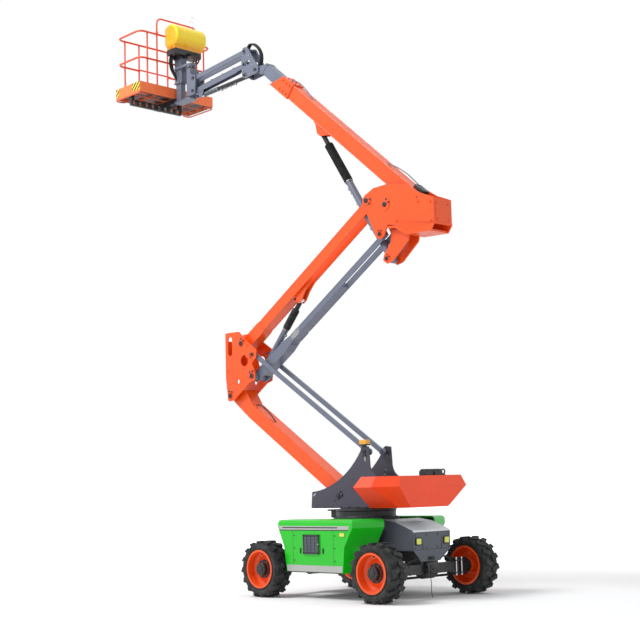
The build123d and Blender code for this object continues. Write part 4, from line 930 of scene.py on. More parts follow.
# Name, the barrel's mouth, its radius, the boot's radius, the neck's length and radius, and the boot's finish
RAMS = (
    ("lift", 1.64, 0.056, 0.072, 0.27, 0.038, "sleeve_rubber"),
    ("riser", 1.01, 0.05, 0.065, 0.2, 0.038, "sleeve_rubber"),
    ("jib", 0.86, 0.034, 0.041, 0.09, 0.025, "grille_paint"),
)
BOOT_BAND = ((0.006, 0), (0.006, 0.008), (0.02, 0.008), (0.02, 0))
PLEATED_LENGTH = 0.9


class BOOMLIFT_OT_rams(bpy.types.Operator):
    """Add pleated boots with their bands, port blocks and pipes to the cylinders"""
    bl_idname = "boomlift.rams"
    bl_label = "Cylinders"

    def execute(self, context):
        pleats = context.scene.boom_lift_sizes.pleats
        for name, mouth, radius, *sleeve in RAMS:
            self.boot(name, mouth, radius, *sleeve, pleats)
            self.pipe(name, mouth, radius)
        return {"FINISHED"}

    def boot(self, name, mouth, radius, boot_radius, neck, neck_radius, finish, pleats):
        """Make a pleated boot between the barrel's mouth and a slim neck by the rod's eye."""
        barrel, eye = name + "_barrel", name + "_rod"
        base = PIVOT[barrel]
        way = PIVOT[eye] - base
        along = way.normalized()
        first = mouth - 0.05
        start, last = first + 0.03, way.length - neck
        valley = radius + 0.003
        profile = [(first, valley), (start, radius + 0.004)]
        count = round(pleats * (last - start) / PLEATED_LENGTH)
        for index in range(count):
            profile.append((start + (last - start) * (index + 0.5) / count, boot_radius))
            profile.append((start + (last - start) * (index + 1) / count, valley))
        end = way.length - 0.05
        profile += [(last + 0.012, neck_radius), (end, neck_radius), (end, neck_radius - 0.004)]
        mesh = bmesh.new()
        lathe(mesh, base, along, profile, 32)
        boot = make_piece(name + "_boot", mesh, None, finish, angle=20, slot="tyre_rubber")
        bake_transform(boot)
        with piece(name + "_boot_band", barrel, "zinc_bolt") as band:
            lathe(band, base, along, [(first + run, radius + step) for run, step in BOOT_BAND], 36)

    def pipe(self, name, mouth, radius):
        """Add port blocks, clips and a steel pipe to a barrel."""
        barrel = name + "_barrel"
        beam = Beam(PIVOT[barrel], PIVOT[name + "_rod"] - PIVOT[barrel])
        start = mouth * 0.42
        middle, inner = -radius - 0.012, -radius + 0.004
        with piece(name + "_pipe", barrel, "zinc_bolt", bevel=0.0015) as pipe:
            rod(pipe, beam.at(start, 0, middle), beam.at(mouth - 0.13, 0, middle), 0.009, 12)
            for runs in ((start - 0.03, start), (mouth - 0.15, mouth - 0.11)):
                beam_block(pipe, beam, runs, span(0, 0.017), (middle - 0.015, inner))
            for share in (0.55, 0.72, 0.86):
                run = mouth * share
                beam_block(pipe, beam, (run, run + 0.018), span(0, 0.014), (middle - 0.011, inner))


CHEEK = 0.2
CHEEK_INSIDE = 0.199
COLLAR_RUN = 3.1
COLLAR_BOLT_RUNS = (3.17, 3.27, 3.37)
# Runs, half width and rises along the main boom
TAIL_BLOCKS = (
    ((-0.462, -0.43), 0.096, (0.226, 0.448)),
    ((-0.476, -0.46), 0.07, (0.25, 0.425)),
    ((-0.44, -0.22), 0.07, (0.45, 0.51)),
)
BOOM_CABLES = {
    "tail": ((-0.25, 0.508), (0.02, 0.535), (0.3, 0.505), (0.48, 0.462), (0.56, 0.446)),
    "head": ((2.6, 0.446), (2.68, 0.462), (2.85, 0.5), (3.15, 0.53), (3.33, 0.468)),
}
GUSSET = ((2.4, 0.224), (2.27, 0.185), (2.1, 0.185), (2.1, 0.224))
LOWER_HOSE = ((2.02, 0.1), (2.12, 0.15), (2.4, 0.168), (2.54, 0.15), (2.6, 0.1))
# Steps from the elbow's or the tower's pin
KNUCKLE_HOLES = ((0.374, 0.56, 0.098, 0.005, 48), (0.21, 0.225, 0.042, 0.004, 32))
KNUCKLE_BOLTS = ((0.27, 0.94), (0.44, 0.81), (0.57, 0.56), (0.5, 0.27), (-0.06, 0.42))
UPRIGHT_BOLTS = ((1.02, -0.12), (1.05, -0.2), (1.29, -0.24), (1.29, -0.52), (0.62, -0.42))
UPRIGHT_BOSSES = ((0.386, -0.127, 0.1), (0.0, 0.0, 0.078))
SKIRT_FOLD = ((1.345, -0.545), (0.66, -0.445))
SKIRT_FOOT = ((0.69, -0.565), (0.79, -0.636), (1.278, -0.655), (1.345, -0.568))
TAIL_FACE = TOWER.x + 1.351


class BOOMLIFT_OT_booms(bpy.types.Operator):
    """Add welds, bolts, cables, gussets, skirts and end caps to the booms"""
    bl_idname = "boomlift.booms"
    bl_label = "Booms"

    def execute(self, context):
        self.main()
        self.risers()
        self.knuckle()
        self.upright()
        return {"FINISHED"}

    def main(self):
        """Dress the main boom, its collar and the fly boom's end."""
        with piece("boom_welds", "main_boom", "boom_paint") as welds:
            edge_welds(welds, MAIN, (-0.43, COLLAR_RUN), 0.1, (0.222, 0.452))
            end_welds(welds, MAIN, COLLAR_RUN, 0.1, (0.215, 0.46))
        with piece("collar_bolts", "main_boom", "boom_paint") as bolts:
            cheek_bolts(bolts, MAIN.path(product(COLLAR_BOLT_RUNS, (0.262, 0.412))), 0.118, 0.026)
            for run, side in product(COLLAR_BOLT_RUNS, (-0.05, 0.05)):
                hex_bolt(bolts, MAIN.at(run - 0.03, side, 0.47), MAIN.rise, 0.026)
        with piece("boom_tail_cap", "main_boom", "black_moulding", bevel=0.008) as tail:
            for runs, half, rises in TAIL_BLOCKS:
                beam_block(tail, MAIN, runs, span(0, half), rises)
        for name, path in BOOM_CABLES.items():
            bent_tube(f"boom_cable_{name}", MAIN.path(path), 0.009, "main_boom", "link_paint")
        with piece("lift_gussets", "main_boom", "boom_paint", bevel=0.003) as gussets:
            for side in BOTH:
                slab(gussets, MAIN.path(GUSSET, side * 0.061), ACROSS * side * 0.011)
        with piece("fly_end_frame", "fly_boom", "link_paint", bevel=0.002) as fly:
            cheek_bolts(fly, MAIN.path(((3.93, 0.25), (3.93, 0.424))), 0.08, 0.024)
            beam_block(fly, MAIN, (3.955, 3.985), span(0, 0.085), (0.238, 0.437))

    def risers(self):
        """Dress the risers and their links."""
        with piece("lower_riser_welds", "lower_riser", "boom_paint") as welds:
            edge_welds(welds, LOWER_ARM, (0.09, 2.59), 0.115, (-0.1075, 0.1075))
        with piece("upper_riser_welds", "upper_riser", "boom_paint") as welds:
            edge_welds(welds, RISER, (0.53, 3.49), 0.095, (-0.088, 0.088))
            end_welds(welds, RISER, 0.47, 0.095, (-0.098, 0.098))
        hose("lower_hose", LOWER_ARM.path(LOWER_HOSE, -0.03), "lower_riser", 0.009)
        with piece("link_pads", "upper_link", "zinc_bolt", bevel=0.002) as pads:
            for side in BOTH:
                beam_block(pads, LINK_ARM, (1.04, 1.24), (side * 0.094, side * 0.1), span(0, 0.055))
            cheek_bolts(pads, LINK_ARM.path(product((1.07, 1.21), (-0.035, 0.035))), 0.1, 0.018)
        with piece("link_welds", "upper_link", "link_paint") as welds:
            edge_welds(welds, LINK_ARM, (1.28, 3.5), 0.095, (-0.046, 0.046), 0.004)

    def knuckle(self):
        """Dress the knuckle's cheeks."""
        with piece("knuckle_hole_rims", "mid_knuckle", "boom_paint") as rims:
            for (x, z, major, minor, steps), side in product(KNUCKLE_HOLES, BOTH):
                centre = spot(across(ELBOW, side * CHEEK), x, z)
                ring(rims, centre, ACROSS * side, major, minor, steps, 8)
        with piece("knuckle_bolts", "mid_knuckle", "boom_paint") as bolts:
            cheek_bolts(bolts, spots(ELBOW, KNUCKLE_BOLTS), CHEEK, 0.024)

    def upright(self):
        """Dress the upright's cheeks and tail."""
        with piece("upright_bolts", "upright", "boom_paint") as bolts:
            cheek_bolts(bolts, spots(TOWER, UPRIGHT_BOLTS), CHEEK, 0.026)
        with piece("upright_bosses", "upright", "boom_paint") as bosses:
            for (x, z, radius), side in product(UPRIGHT_BOSSES, BOTH):
                disc(bosses, spot(across(TOWER, side * CHEEK_INSIDE), x, z), ACROSS * side, radius, 0.011)
        with piece("upright_skirts", "upright", "boom_paint") as skirts:
            for side in BOTH:
                self.skirt(skirts, side)
        with piece("upright_tail_plate", "upright", "boom_paint", bevel=0.002) as plate:
            block(plate, (TAIL_FACE - 0.006, TAIL_FACE), span(0, 0.15), (TOWER.z - 0.53, TOWER.z - 0.23))
            for y, z in product((-0.12, 0.12), (-0.5, -0.26)):
                hex_bolt(plate, (TAIL_FACE, y, TOWER.z + z), FORWARD, 0.02)

    def skirt(self, mesh, side):
        """Add the folded lower edge of one cheek: it stands out along the fold and runs in below it."""
        outline = spots(across(TOWER, side * CHEEK_INSIDE), (*SKIRT_FOOT, *SKIRT_FOLD))
        lip = spots(across(TOWER, side * 0.224), SKIRT_FOLD)
        back = [mesh.verts.new(point) for point in outline]
        front = [mesh.verts.new(point) for point in lip]
        mesh.faces.new(back)
        mesh.faces.new((*back[:4], front[0], front[1]))
        mesh.faces.new((back[4], back[5], front[1], front[0]))
        mesh.faces.new((back[3], back[4], front[0]))
        mesh.faces.new((back[5], back[0], front[1]))


TURRET_FACE = 0.25
FLANGE_FACE = 0.262
SMALL_KNOB = ((0, 0.013), (0.006, 0.013), (0.008, 0.009), (0.024, 0.009), (0.026, 0))
VALVE_SPOOL = ((0, 0.022), (0.07, 0.022), (0.075, 0.015), (0.1, 0.015), (0.1, 0))
WEIGHT_TOP = 1.748
EYE_FOOT = ((0, 0.045), (0.008, 0.045), (0.012, 0.03), (0.03, 0.024), (0.03, 0))
WEIGHT_PLUG = ((0, 0.05), (0.006, 0.05), (0.009, 0.046), (0.009, 0.02), (0.004, 0.018), (0.004, 0))
SHROUD = (
    (1.15, 0.43), (1.15, 0.47), (1.168, 0.47), (1.172, 0.452), (1.25, 0.452), (1.256, 0.462), (1.284, 0.462),
    (1.284, 0.43), (1.15, 0.43),
)


class BOOMLIFT_OT_turret(bpy.types.Operator):
    """Add the beacon's lens, control box, valve block, lids and caps to the turret and counterweight"""
    bl_idname = "boomlift.turret"
    bl_label = "Turret"

    def execute(self, context):
        self.beacon()
        self.cheeks()
        self.control_box()
        self.valves()
        self.weight()
        self.slewing()
        return {"FINISHED"}

    def beacon(self):
        """Put a ribbed amber lens over the beacon's body."""
        with piece("beacon_lens", "turret", "amber_lens", bevel=0.008) as lens:
            block(lens, (LEVEL.x - 0.065, LEVEL.x + 0.071), (-0.284, -0.196), (2.236, 2.304))
            for index in range(5):
                x = LEVEL.x - 0.052 + 0.025 * index
                block(lens, (x, x + 0.012), (-0.287, -0.193), (2.242, 2.298))
        with piece("beacon_foot", "turret", "black_moulding", bevel=0.003) as foot:
            block(foot, (LEVEL.x - 0.067, LEVEL.x + 0.073), (-0.286, -0.194), (2.219, 2.238))
            block(foot, span(LEVEL.x, 0.03), (-0.27, -0.22), (2.196, 2.222))

    def cheeks(self):
        """Add foot flanges, lids, slots and bolts to the turret's cheeks."""
        with piece("turret_flanges", "turret", "turret_paint", bevel=0.003) as flanges:
            for side in BOTH:
                block(flanges, (-0.9, 0.52), (side * TURRET_FACE, side * FLANGE_FACE), (1.297, 1.333))
        with piece("turret_bolts", "turret", "turret_paint") as bolts:
            flange_bolts = [(-0.82 + 0.18 * index, 1.315) for index in range(8)]
            cheek_bolts(bolts, spots(ORIGIN, flange_bolts), FLANGE_FACE, 0.02)
            cheek_bolts(bolts, spots(ORIGIN, product((-0.02, 0.22), (1.59, 1.73))), 0.254, 0.014)
        with (
            piece("turret_lids", "turret", "turret_paint", bevel=0.0012) as lids,
            piece("turret_slots", "turret", "band_film") as slots,
        ):
            for side in BOTH:
                y, first = side * TURRET_FACE, FORWARD * side
                badge(lids, (-0.42, y, 1.415), first, UP, (0.05, 0.034), -0.006, 0.015)
                badge(lids, (0.1, y, 1.66), first, UP, (0.3, 0.2), -0.004, 0.03)
                slant, steep = Vector((0.82, 0, 0.57)) * side, Vector((-0.57, 0, 0.82))
                badge(slots, (-0.862, y, 1.505), slant, steep, (0.07, 0.022), -0.003, 0.01)
                badge(slots, (0.255, y, 2.02), first, UP, (0.02, 0.07), -0.003, 0.009)

    def control_box(self):
        """Hang the ground control box on the left cheek."""
        with piece("ground_control_box", "turret", "black_moulding", bevel=0.006) as box:
            block(box, (0.36, 0.6), (0.251, 0.36), (1.44, 1.72))
            block(box, (0.35, 0.61), (0.36, 0.385), (1.43, 1.73))
            for z in (1.5, 1.66):
                rod(box, (0.345, 0.372, z - 0.03), (0.345, 0.372, z + 0.03), 0.01)
        with piece("ground_control_knobs", "turret", "amber_lens") as knobs:
            for x, z in product((0.42, 0.48, 0.54), (1.52, 1.6, 1.66)):
                lathe(knobs, (x, 0.384, z), ACROSS, SMALL_KNOB, 14)

    def valves(self):
        """Add the valve block and its hoses between the cheeks."""
        with (
            piece("valve_block", "turret", "drum_paint", bevel=0.004) as body,
            piece("valve_ports", "turret", "zinc_bolt") as ports,
        ):
            block(body, (0.34, 0.62), span(0, 0.11), (1.325, 1.47))
            for index in range(4):
                x = 0.385 + 0.063 * index
                lathe(body, (x, 0, 1.47), UP, VALVE_SPOOL, 16)
                for name, side in SIDES:
                    hex_bolt(ports, (x, side * 0.11, 1.4), ACROSS * side, 0.03, 0.03)
                    path = (
                        (x, 0.14, 1.4), (x, 0.19, 1.4), (x - 0.1, 0.19, 1.56), (x - 0.3, 0.19, 1.6),
                        (0.05, 0.21, 1.5 + 0.03 * index), (0.0, 0.228, 1.46 + 0.03 * index),
                    )
                    hose(f"turret_hose_{index}_{name}", sided(path, side), "turret", 0.01)

    def weight(self):
        """Add two black caps, lifting eyes and plugs to the counterweight."""
        with piece("weight_caps", "turret", "black_moulding", bevel=0.007) as caps:
            for y in (0.0, 0.205):
                block(caps, (1.175, 1.3), span(y, 0.085), (1.75, 1.815))
                block(caps, (1.185, 1.29), span(y, 0.075), (1.815, 1.836))
                for x in (1.2, 1.235, 1.27):
                    block(caps, (x, x + 0.014), span(y, 0.07), (1.832, 1.842))
        with piece("weight_lifting_eyes", "turret", "drum_paint") as eyes:
            for y in (-0.62, 0.62):
                lathe(eyes, (1.02, y, WEIGHT_TOP), UP, EYE_FOOT, 24)
                ring(eyes, (1.02, y, 1.805), ACROSS, 0.034, 0.011, 32, 10)
        with piece("weight_plugs", "turret", "weight_paint") as plugs:
            for y in (-0.46, 0.46):
                lathe(plugs, (0.86, y, WEIGHT_TOP), UP, WEIGHT_PLUG, 28)

    def slewing(self):
        """Add the shroud and the bolts of the slewing ring."""
        with piece("slewing_shroud", "chassis", "black_moulding", bevel=0.003) as shroud:
            lathe(shroud, ORIGIN, UP, SHROUD, 96)
            block(shroud, (-0.56, -0.44), span(0, 0.2), (1.152, 1.26))
            block(shroud, (-0.6, -0.43), span(0, 0.24), (1.255, 1.28))
        with piece("slewing_bolts", "chassis", "dark_bolt") as bolts:
            bolt_ring(bolts, (0, 0, 1.15), UP, 0.485, 32, 0.018)


COVER_FACE = 1.0
HATCH_FACE = 1.012
COVER_EDGE = ((0.385, -0.7, 0.48), (0.76, -0.76, 0.52), (1.03, -0.885, 0.69), (1.105, -0.885, 0.69))
COVER_SEAMS = (-0.56, 0.3)
# Low and high edge, insets from the rear and front ends, and thickness
PALE_STRIPS = ((1.006, 1.06, 0.02, 0.06, 0.002), (0.4, 0.492, 0.014, 0.014, 0.002))
DARK_STRIPS = (
    (1.028, 1.044, 0.1, 0.3, 0.003), (0.992, 1.004, 0.02, 0.06, 0.002), (0.386, 0.398, 0.01, 0.01, 0.002),
)
# Limits in x and z
HATCH_BARS = (
    ((-0.325, -0.3), (0.655, 0.935)), ((-0.01, 0.015), (0.655, 0.935)),
    ((-0.325, 0.015), (0.655, 0.68)), ((-0.325, 0.015), (0.91, 0.935)),
    *((span(x, 0.004), (0.68, 0.91)) for x in (-0.235, -0.155, -0.075)),
)
LATCH = ((0, 0.012), (0.003, 0.012), (0.005, 0.01), (0.005, 0.004), (0.003, 0.003), (0.003, 0))


def cover_ends(height):
    """Return where a side cover's face starts and ends at a height."""
    for (low, rear_low, front_low), (high, rear_high, front_high) in zip(COVER_EDGE, COVER_EDGE[1:]):
        if low <= height <= high:
            share = (height - low) / (high - low)
            return rear_low + (rear_high - rear_low) * share, front_low + (front_high - front_low) * share
    raise ValueError("height is off the cover's face")


class BOOMLIFT_OT_covers(bpy.types.Operator):
    """Add bands, grips, marker lamps and grilles to the side covers"""
    bl_idname = "boomlift.covers"
    bl_label = "Side covers"

    def execute(self, context):
        for name, side in SIDES:
            self.bands(name, side)
            self.trim(name, side)
            self.grille("hatch_" + name, side)
        return {"FINISHED"}

    def strip(self, mesh, side, low, high, rear_inset, front_inset, thickness):
        """Add a strip along the cover's face between two heights, kept inside its slanting ends."""
        (rear_low, front_low), (rear_high, front_high) = cover_ends(low), cover_ends(high)
        places = (
            (rear_low + rear_inset, low), (front_low - front_inset, low),
            (front_high - front_inset, high), (rear_high + rear_inset, high),
        )
        slab(mesh, [(x, side * COVER_FACE, z) for x, z in places], ACROSS * side * thickness)

    def bands(self, name, side):
        """Add the two pale bands with their dark lines."""
        kinds = (("bands", "band_film", PALE_STRIPS), ("lines", "black_moulding", DARK_STRIPS))
        for kind, finish, rows in kinds:
            with piece(f"cover_{kind}_{name}", "chassis", finish) as mesh:
                for row in rows:
                    self.strip(mesh, side, *row)

    def trim(self, name, side):
        """Add grips, seams, fixings and the marker lamp."""
        y, first = side * COVER_FACE, FORWARD * side
        with piece(f"cover_grips_{name}", "chassis", "black_moulding") as grips:
            for x in (-0.395, 0.085):
                badge(grips, (x, y, 0.7), first, UP, (0.03, 0.085), -0.004, 0.012)
                badge(grips, (x, y + side * 0.004, 0.7), first, UP, (0.016, 0.068), -0.006, 0.007)
        with piece(f"cover_seams_{name}", "chassis", "black_moulding") as seams:
            for x in COVER_SEAMS:
                block(seams, span(x, 0.002), (side * 0.99, side * 1.0012), (0.5, 0.99))
        with piece(f"cover_fixings_{name}", "chassis", "drum_paint") as fixings:
            for x, z in product(COVER_SEAMS, (0.56, 0.74, 0.92)):
                hex_bolt(fixings, (x + 0.03, y, z), ACROSS * side, 0.014)
        with piece(f"cover_marker_{name}", "chassis", "lamp_lens", bevel=0.004) as lamp:
            badge(lamp, (0.485, y, 0.935), first, UP, (0.1, 0.05), -0.012, 0.012)

    def grille(self, hatch, side):
        """Add a framed grille with slats and a latch to a hatch."""
        out = ACROSS * side
        face = side * HATCH_FACE
        outer, front, rear = face + side * 0.012, face + side * 0.009, face + side * 0.002
        with piece(f"{hatch}_backing", hatch, "black_moulding") as back:
            badge(back, (-0.155, face, 0.795), FORWARD * side, UP, (0.335, 0.275), -0.0015, 0.02)
        with piece(f"{hatch}_frame", hatch, "black_moulding", bevel=0.003) as bars:
            for xs, zs in HATCH_BARS:
                block(bars, xs, (face, outer), zs)
        with piece(f"{hatch}_slats", hatch, "grille_paint") as slats:
            for index in range(11):
                low = 0.684 + 0.0205 * index
                high = low + 0.0165
                corners = [(-0.3, front, low), (-0.01, front, low), (-0.01, rear, high), (-0.3, rear, high)]
                slab(slats, corners, out * 0.0025)
        with piece(f"{hatch}_latch", hatch, "zinc_bolt") as latch:
            lathe(latch, (0.002, outer, 0.795), out, LATCH, 20)


ENDS = (("front", 1), ("rear", -1))
LAMP_SIDES = (-0.3, 0.3)
# Place, size and thickness
END_SEAMS = (
    ((1.2985, 0, 0.7), (0.74, 0.006), 0.003), ((1.3055, 0, 0.935), (0.74, 0.005), 0.004),
    ((1.301, -0.2, 0.79), (0.005, 0.17), 0.006), ((1.301, 0.2, 0.79), (0.005, 0.17), 0.006),
)
AXLE_HEIGHT = 0.419
AXLE_PLUG = ((0, 0.07), (0.008, 0.07), (0.011, 0.062), (0.011, 0.024), (0.022, 0.02), (0.022, 0))
AXLE_HOSE = ((1.22, 0.13, 0.58), (1.27, 0.22, 0.6), (1.28, 0.38, 0.56), (1.24, 0.5, 0.5), (1.2, 0.56, 0.48))
STEERING_CYLINDER = (
    (0, 0.012), (0.1, 0.012), (0.1, 0.03), (0.13, 0.036), (0.4, 0.036), (0.6, 0.036), (0.87, 0.036),
    (0.9, 0.03), (0.9, 0.012), (1.0, 0.012),
)
GROUND_STRAP = ((1.2, 0.06, 0.29), (1.215, 0.06, 0.2), (1.2, 0.06, 0.1), (1.22, 0.065, 0.008))


class BOOMLIFT_OT_ends(bpy.types.Operator):
    """Add lamps, seams, shackles and steering pieces to the ends of the chassis"""
    bl_idname = "boomlift.ends"
    bl_label = "Chassis ends"

    def execute(self, context):
        for name, end in ENDS:
            self.face(name, end)
            self.axle(name, end)
            self.shackles(name, end)
        self.steering()
        return {"FINISHED"}

    def face(self, name, end):
        """Dress an end cover's face."""
        first = ACROSS * end
        with piece(f"lamp_bezels_{name}", "chassis", "black_moulding", bevel=0.003) as bezels:
            for y in LAMP_SIDES:
                badge(bezels, (end * 1.303, y, 0.82), first, UP, (0.125, 0.115), 0.013, 0.02)
        with piece(f"lamp_lenses_{name}", "chassis", "lamp_lens", bevel=0.005) as lenses:
            for y in LAMP_SIDES:
                badge(lenses, (end * 1.316, y, 0.82), first, UP, (0.092, 0.082), 0.015, 0.014)
        with piece(f"end_seams_{name}", "chassis", "black_moulding") as seams:
            for (x, y, z), size, thickness in END_SEAMS:
                badge(seams, (end * x, y, z), first, UP, size, thickness, 0.002)
        with piece(f"end_bolts_{name}", "chassis", "dark_bolt") as bolts:
            for y, (x, z) in product((-0.36, -0.12, 0.12, 0.36), ((1.3065, 0.905), (1.3, 0.725))):
                hex_bolt(bolts, (end * x, y, z), FORWARD * end, 0.018)
        with piece(f"tow_eye_{name}", "chassis", "drum_paint", bevel=0.004) as eye:
            block(eye, (end * 1.2, end * 1.285), span(0, 0.07), (0.545, 0.6))
            ring(eye, (end * 1.29, 0, 0.572), UP, 0.036, 0.011, 32, 10)

    def axle(self, name, end):
        """Dress an axle with flange bolts, a plug and hoses."""
        out = FORWARD * end
        with piece(f"axle_bolts_{name}", "chassis", "dark_bolt") as bolts:
            for side in BOTH:
                bolt_ring(bolts, (end * 1.175, side * 0.11, AXLE_HEIGHT), ACROSS * side, 0.12, 12, 0.02)
                for y, z in product((0.5, 0.42), (0.36, 0.48)):
                    hex_bolt(bolts, (end * 1.245, side * y, z), out, 0.024)
        with piece(f"axle_plug_{name}", "chassis", "drum_paint") as plug:
            lathe(plug, (end * 1.31, 0, AXLE_HEIGHT), out, AXLE_PLUG, 28)
            bolt_ring(plug, (end * 1.318, 0, AXLE_HEIGHT), out, 0.055, 8, 0.012)
        for index, side in enumerate(BOTH):
            path = [(end * x, y, z) for x, y, z in AXLE_HOSE]
            hose(f"axle_hose_{name}_{index}", sided(path, side), "chassis", 0.012)

    def shackles(self, name, end):
        """Hang a shackle in each tie-down lug."""
        with piece(f"shackles_{name}", "chassis", "zinc_bolt") as shackles:
            for side in BOTH:
                ring(shackles, (end * 0.794, side * 0.5275, 0.57), FORWARD, 0.04, 0.008, 32, 10)

    def steering(self):
        """Add paired stay rods, a steering cylinder and a ground strap at the steered axle."""
        with piece("stay_rods", "chassis", "pale_zinc") as rods:
            for side, y in product(BOTH, (0.56, 0.68)):
                foot = Vector((1.262, side * y, 0.305))
                top = foot + UP * 0.235
                rod(rods, foot, top, 0.011, 12)
                hex_bolt(rods, top, UP, 0.022)
                hex_bolt(rods, foot, -UP, 0.022)
        with piece("stay_plates", "chassis", "drum_paint", bevel=0.002) as plates:
            for side, low in product(BOTH, (0.325, 0.5)):
                block(plates, (1.23, 1.29), (side * 0.535, side * 0.705), (low, low + 0.014))
        with piece("steering_cylinder", "chassis", "drum_paint") as barrel:
            lathe(barrel, (1.08, -0.5, 0.45), ACROSS, STEERING_CYLINDER, 24)
        wire = hose("ground_strap", GROUND_STRAP, "chassis", 0.005)


PATCH_HEIGHT = 0.148
STRIPE_PITCH = 0.09
STRIPE_WIDTH = 0.045
TREAD_BAR = ((-0.02, 0), (-0.008, -0.005), (0.008, -0.005), (0.02, 0), (0.008, 0.005), (-0.008, 0.005))
# Inset from the floor's end and step out of its edge
BUMPER_END = ((0.06, -0.16), (0.01, -0.15), (0.01, 0.012), (0.12, 0.016))
RAIL_INSET = 0.024
POST_FOOT = ((0, 0.028), (0.008, 0.028), (0.01, 0.02), (0.03, 0.0195), (0.03, 0))
POST_TOP = ((0, 0.026), (0.05, 0.026), (0.054, 0.02), (0.054, 0))
HOOP_FOOT = ((0, 0.022), (0.02, 0.022), (0.024, 0.014), (0.05, 0.012), (0.05, 0))
LEVER = (
    (0, 0.034), (0.006, 0.034), (0.012, 0.026), (0.018, 0.028), (0.024, 0.02), (0.03, 0.021), (0.036, 0.012),
    (0.075, 0.011), (0.082, 0.017), (0.1, 0.018), (0.108, 0.012), (0.108, 0),
)
SWITCH = ((0, 0.012), (0.004, 0.012), (0.006, 0.009), (0.016, 0.008), (0.018, 0))
STOP_KNOB = (
    (0, 0.026), (0.01, 0.026), (0.014, 0.018), (0.024, 0.018), (0.03, 0.03), (0.038, 0.026), (0.04, 0),
)
DRUM_RADIUS = 0.2225
DRUM_END_RADIUS = 0.19
DRUM_BAND_RADIUS = 0.225
DRUM_STEPS = 32


def clipped(points, limit):
    """Cut a convex outline off at plus and minus a limit along its first coordinate."""
    for sign in BOTH:
        kept = []
        for index, point in enumerate(points):
            other = points[(index + 1) % len(points)]
            inside = sign * point[0] <= limit
            if inside:
                kept.append(point)
            if inside != (sign * other[0] <= limit):
                share = (sign * limit - point[0]) / (other[0] - point[0])
                kept.append((sign * limit, point[1] + (other[1] - point[1]) * share))
        points = kept
    return points


